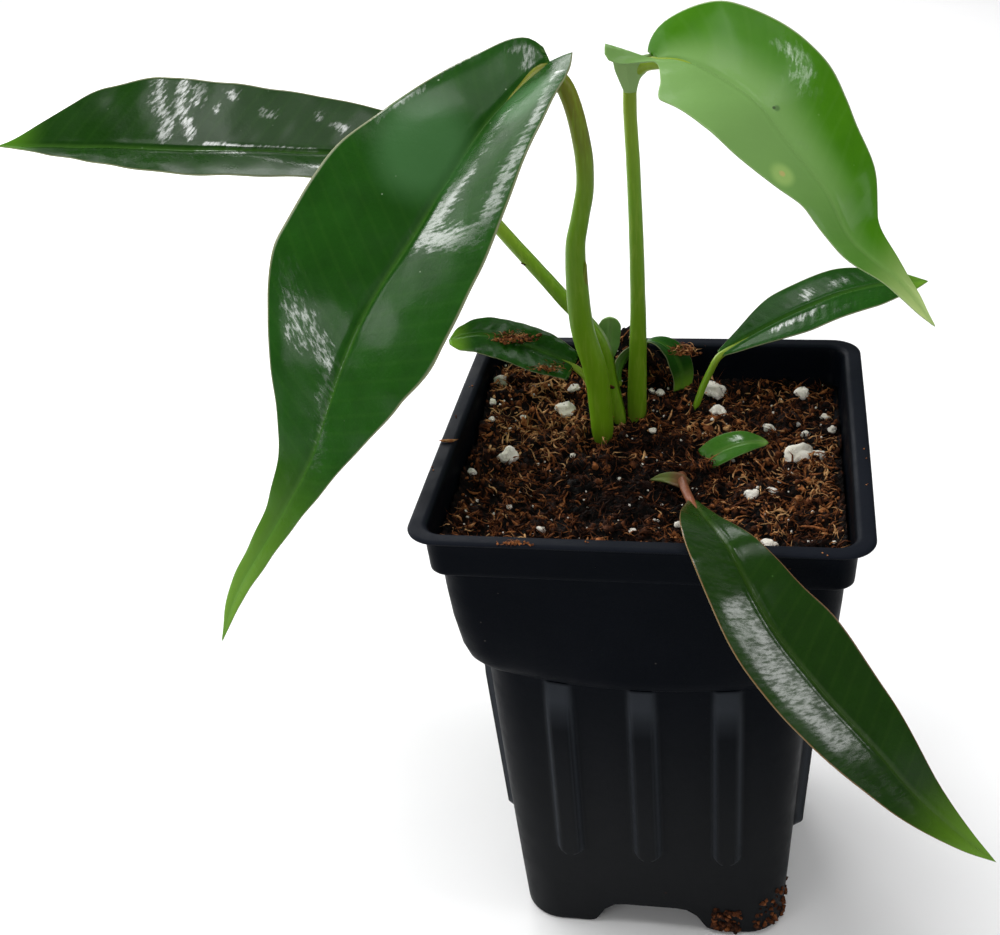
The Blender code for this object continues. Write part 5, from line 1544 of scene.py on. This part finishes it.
def white_dust():
    draw = random.Random(23)
    draws = []
    for _ in range(170):
        x, y = inside_pot(draw)
        size = draw.uniform(0.3, 0.9)
        kind = draw.choice(CRUMBS)
        draws.append((kind, settle(draw, x, y, 0.35) @ scale_of(size, size, size), 1.0))
    return copies("perlite_dust", draws)


finish(white_dust(), PERLITE_WHITE, "soil_mix")

# %% [markdown]
# A little of the mix has spilled: crumbs on the lip, a splinter over the left side, a
# tuft on the low leaf, and a clod that clings to the front right foot.

# %% Spilled crumbs
SPILLS = (((-25.5, -50.2, 132.1), (1.5, 0.35), 40, (0.3, 0.7), CRUMBS, (0.2, 0.7), 0.2),
          ((-25.5, -50.2, 132.15), (1.4, 0.35), 40, (0.9, 2.2), STRANDS, (0.2, 0.8), 0.2),
          ((-38.5, 31.5, 140.9), (2.7, 1.5), 120, (1.2, 3.6), STRANDS, (0.2, 0.9), 0.7),
          ((-38.5, 31.5, 140.6), (2.6, 1.4), 70, (0.5, 1.4), CRUMBS, (0.1, 0.7), 0.6),
          ((-30.5, 27.0, 134.6), (3.0, 1.0), 80, (1.2, 3.2), STRANDS, (0.3, 0.9), 0.5),
          ((-30.5, 27.0, 134.4), (2.8, 0.9), 40, (0.4, 1.2), CRUMBS, (0.2, 0.7), 0.4),
          ((4.5, 39.2, 133.6), (2.0, 1.3), 110, (1.0, 3.4), STRANDS, (0.3, 1.0), 1.0),
          ((4.5, 39.2, 133.0), (1.8, 1.2), 60, (0.4, 1.3), CRUMBS, (0.2, 0.8), 0.8),
          ((-12.2, 22.6, 131.4), (0.3, 0.2), 9, (0.7, 1.4), CRUMBS, (0.1, 0.4), 0.3),
          ((-33.9, 30.2, 162.4), (0.3, 0.2), 6, (0.5, 1.0), CRUMBS, (0.0, 0.2), 0.3))
LIP_SPECKS = ((-50, -20), (-49.5, 5), (-49, 22), (49.5, -8), (50, -24), (-10, -49.4), (18, -49.5),
              (40, -50))
FOOT_START = BASE_HEIGHT + 1.2


def tumbled(draw, axis, lean):
    """A turn at random: all round the upright axis, and leaning by an angle in this range."""
    turn = Matrix.Rotation(draw.uniform(0, math.tau), 4, "Z")
    return turn @ Matrix.Rotation(draw.uniform(*lean), 4, axis)


def spill(draw, centre, spread, count, sizes, kinds, tints, flat):
    """Small copies about one point, resting on what is under them."""
    draws = []
    for _ in range(count):
        place = Vector(centre) + Vector((draw.gauss(0, spread[0]), draw.gauss(0, spread[1]),
                                         abs(draw.gauss(0, flat))))
        size = draw.uniform(*sizes)
        turn = tumbled(draw, "Y", (-0.5, 0.5))
        matrix = Matrix.Translation(place) @ turn @ scale_of(size, size, size * 0.8)
        draws.append((draw.choice(kinds), matrix, draw.uniform(*tints)))
    return draws


def spilled_mix():
    draw = random.Random(41)
    draws = []
    for row in SPILLS:
        draws += spill(draw, *row)
    for x, y in LIP_SPECKS:
        draws += spill(draw, (x, y, 132.05), (0.3, 1.0), 2, (0.25, 0.5), CRUMBS, (0.3, 0.8), 0.05)
    splinter = Matrix.Translation((-48.9, -7.4, 132.35)) @ Matrix.Rotation(0.16, 4, "Z")
    draws.append((CHIPS[0], splinter @ scale_of(5.2, 5.2, 4), 0.7))
    return copies("spilled_mix", draws)


def foot_clod():
    """Crumbs pressed against the front right foot, a little way up its corner."""
    draw = random.Random(77)
    draws = []
    for _ in range(230):
        height = FOOT_START + 13 * draw.random() ** 1.6
        if draw.random() < 0.6:
            column = (0, "side", draw.uniform(17.5, 25.0))
            height = FOOT_START + 8 * draw.random() ** 1.3
        else:
            column = (0, "corner", draw.uniform(0.15, 0.95))
        point = wall_point(column, *lower_wall(height), 0.15)
        size = draw.uniform(0.5, 1.9)
        kind = draw.choice(CRUMBS + STRANDS) if draw.random() < 0.8 else draw.choice(LUMPS)
        matrix = Matrix.Translation((point.x, point.y, height)) @ tumbled(draw, "X", (0, 3))
        draws.append((kind, matrix @ scale_of(size, size, size), draw.uniform(0.0, 0.42)))
    return copies("clod_on_foot", draws)


finish(spilled_mix(), SOIL_LOOSE, "soil_mix")
finish(foot_clod(), SOIL_LOOSE, "soil_mix")

# %% [markdown]
# The rootstock is hidden in the soil. It keeps its plain solid, with the skin of a pale
# root, in case someone lifts the plant out.

# %% Root bark
def make_root_bark():
    made, tree, sockets = new_material("root_bark", 0.8, Specular_IOR_Level=0.3)
    cloud = use_group(tree, MOTTLE, size=3.0, contrast=2.0)
    tree.links.new(mix(tree, cloud, tone(176, 146, 100), tone(120, 88, 54)), sockets["Base Color"])
    tree.links.new(fade(tree, cloud, 0.0, 1.0, 0.65, 0.9), sockets["Roughness"])
    skin = use_group(tree, SKIN, pebble=0.4, wrinkle=2.0, wrinkle_share=1.0)
    bump_into(tree, sockets, skin, 0.0002)
    return made


ROOT_BARK = make_root_bark()
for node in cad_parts.values():
    if not node.hide_render:
        node.data.materials.clear()
        node.data.materials.append(ROOT_BARK)
        print("carried over:", node.name)

# %% [markdown]
# The studio is a pale floor and a few soft lights. The world gives an even fill, and
# the large lights stand where the leaves mirror them towards the camera.

# %% The studio
def make_floor():
    deselect()
    bpy.ops.mesh.primitive_plane_add(size=6.0, location=(0, 0, 0))
    floor = bpy.context.object
    floor.name = floor.data.name = "floor"
    made, tree, sockets = new_material("floor_paper", 0.9, Specular_IOR_Level=0.1)
    grain = use_group(tree, MOTTLE, size=60.0, contrast=0.6)
    colour = mix(tree, grain, tone(250, 250, 250), tone(247, 247, 248))
    tree.links.new(colour, sockets["Base Color"])
    floor.data.materials.append(made)


def soft_light(name, place, size, power):
    data = bpy.data.lights.new(name, "AREA")
    data.shape = "RECTANGLE"
    data.size, data.size_y = size
    data.energy = power
    lamp = bpy.data.objects.new(name, data)
    bpy.context.scene.collection.objects.link(lamp)
    lamp.location = place
    lamp.rotation_euler = (STAGE_MIDDLE - place).to_track_quat("-Z", "Y").to_euler()


def make_world(strength):
    world = bpy.data.worlds.new("studio")
    bpy.context.scene.world = world
    world.use_nodes = True
    world.node_tree.nodes["Background"].inputs[0].default_value = (1.0, 1.0, 1.0, 1.0)
    world.node_tree.nodes["Background"].inputs[1].default_value = strength


make_floor()
make_world(0.2)
STAGE_MIDDLE = Vector((0.0, 0.0, 0.15))
for name, turn, rise, away, size, power in (
        ("left_window", -62, 23, 1.2, (1.6, 0.42), 12.0),
        ("left_low_pane", -45, 8, 1.2, (0.9, 0.18), 2.2),
        ("left_high_pane", -66, 39, 1.2, (0.9, 0.18), 2.2),
        ("low_front_left", -145, 10, 1.2, (0.6, 0.3), 3.4),
        ("back_left", -17, 31, 1.2, (0.34, 0.66), 4.4),
        ("above_left", -122, 76, 1.2, (0.45, 0.36), 3.4),
        ("above_right", 86, 73, 1.2, (0.3, 0.3), 1.8),
        ("right_window", 100, 22, 1.2, (0.2, 0.45), 2.0),
        ("wide_above", 170, 84, 1.4, (0.7, 0.7), 4.0),
        ("front_fill", 174, 26, 1.6, (1.0, 0.6), 1.5)):
    side, up = math.radians(turn), math.radians(rise)
    direction = (math.sin(side) * math.cos(up), math.cos(side) * math.cos(up), math.sin(up))
    soft_light(name, STAGE_MIDDLE + Vector(direction).normalized() * away, size, power)
bpy.context.scene.view_settings.view_transform = "Standard"
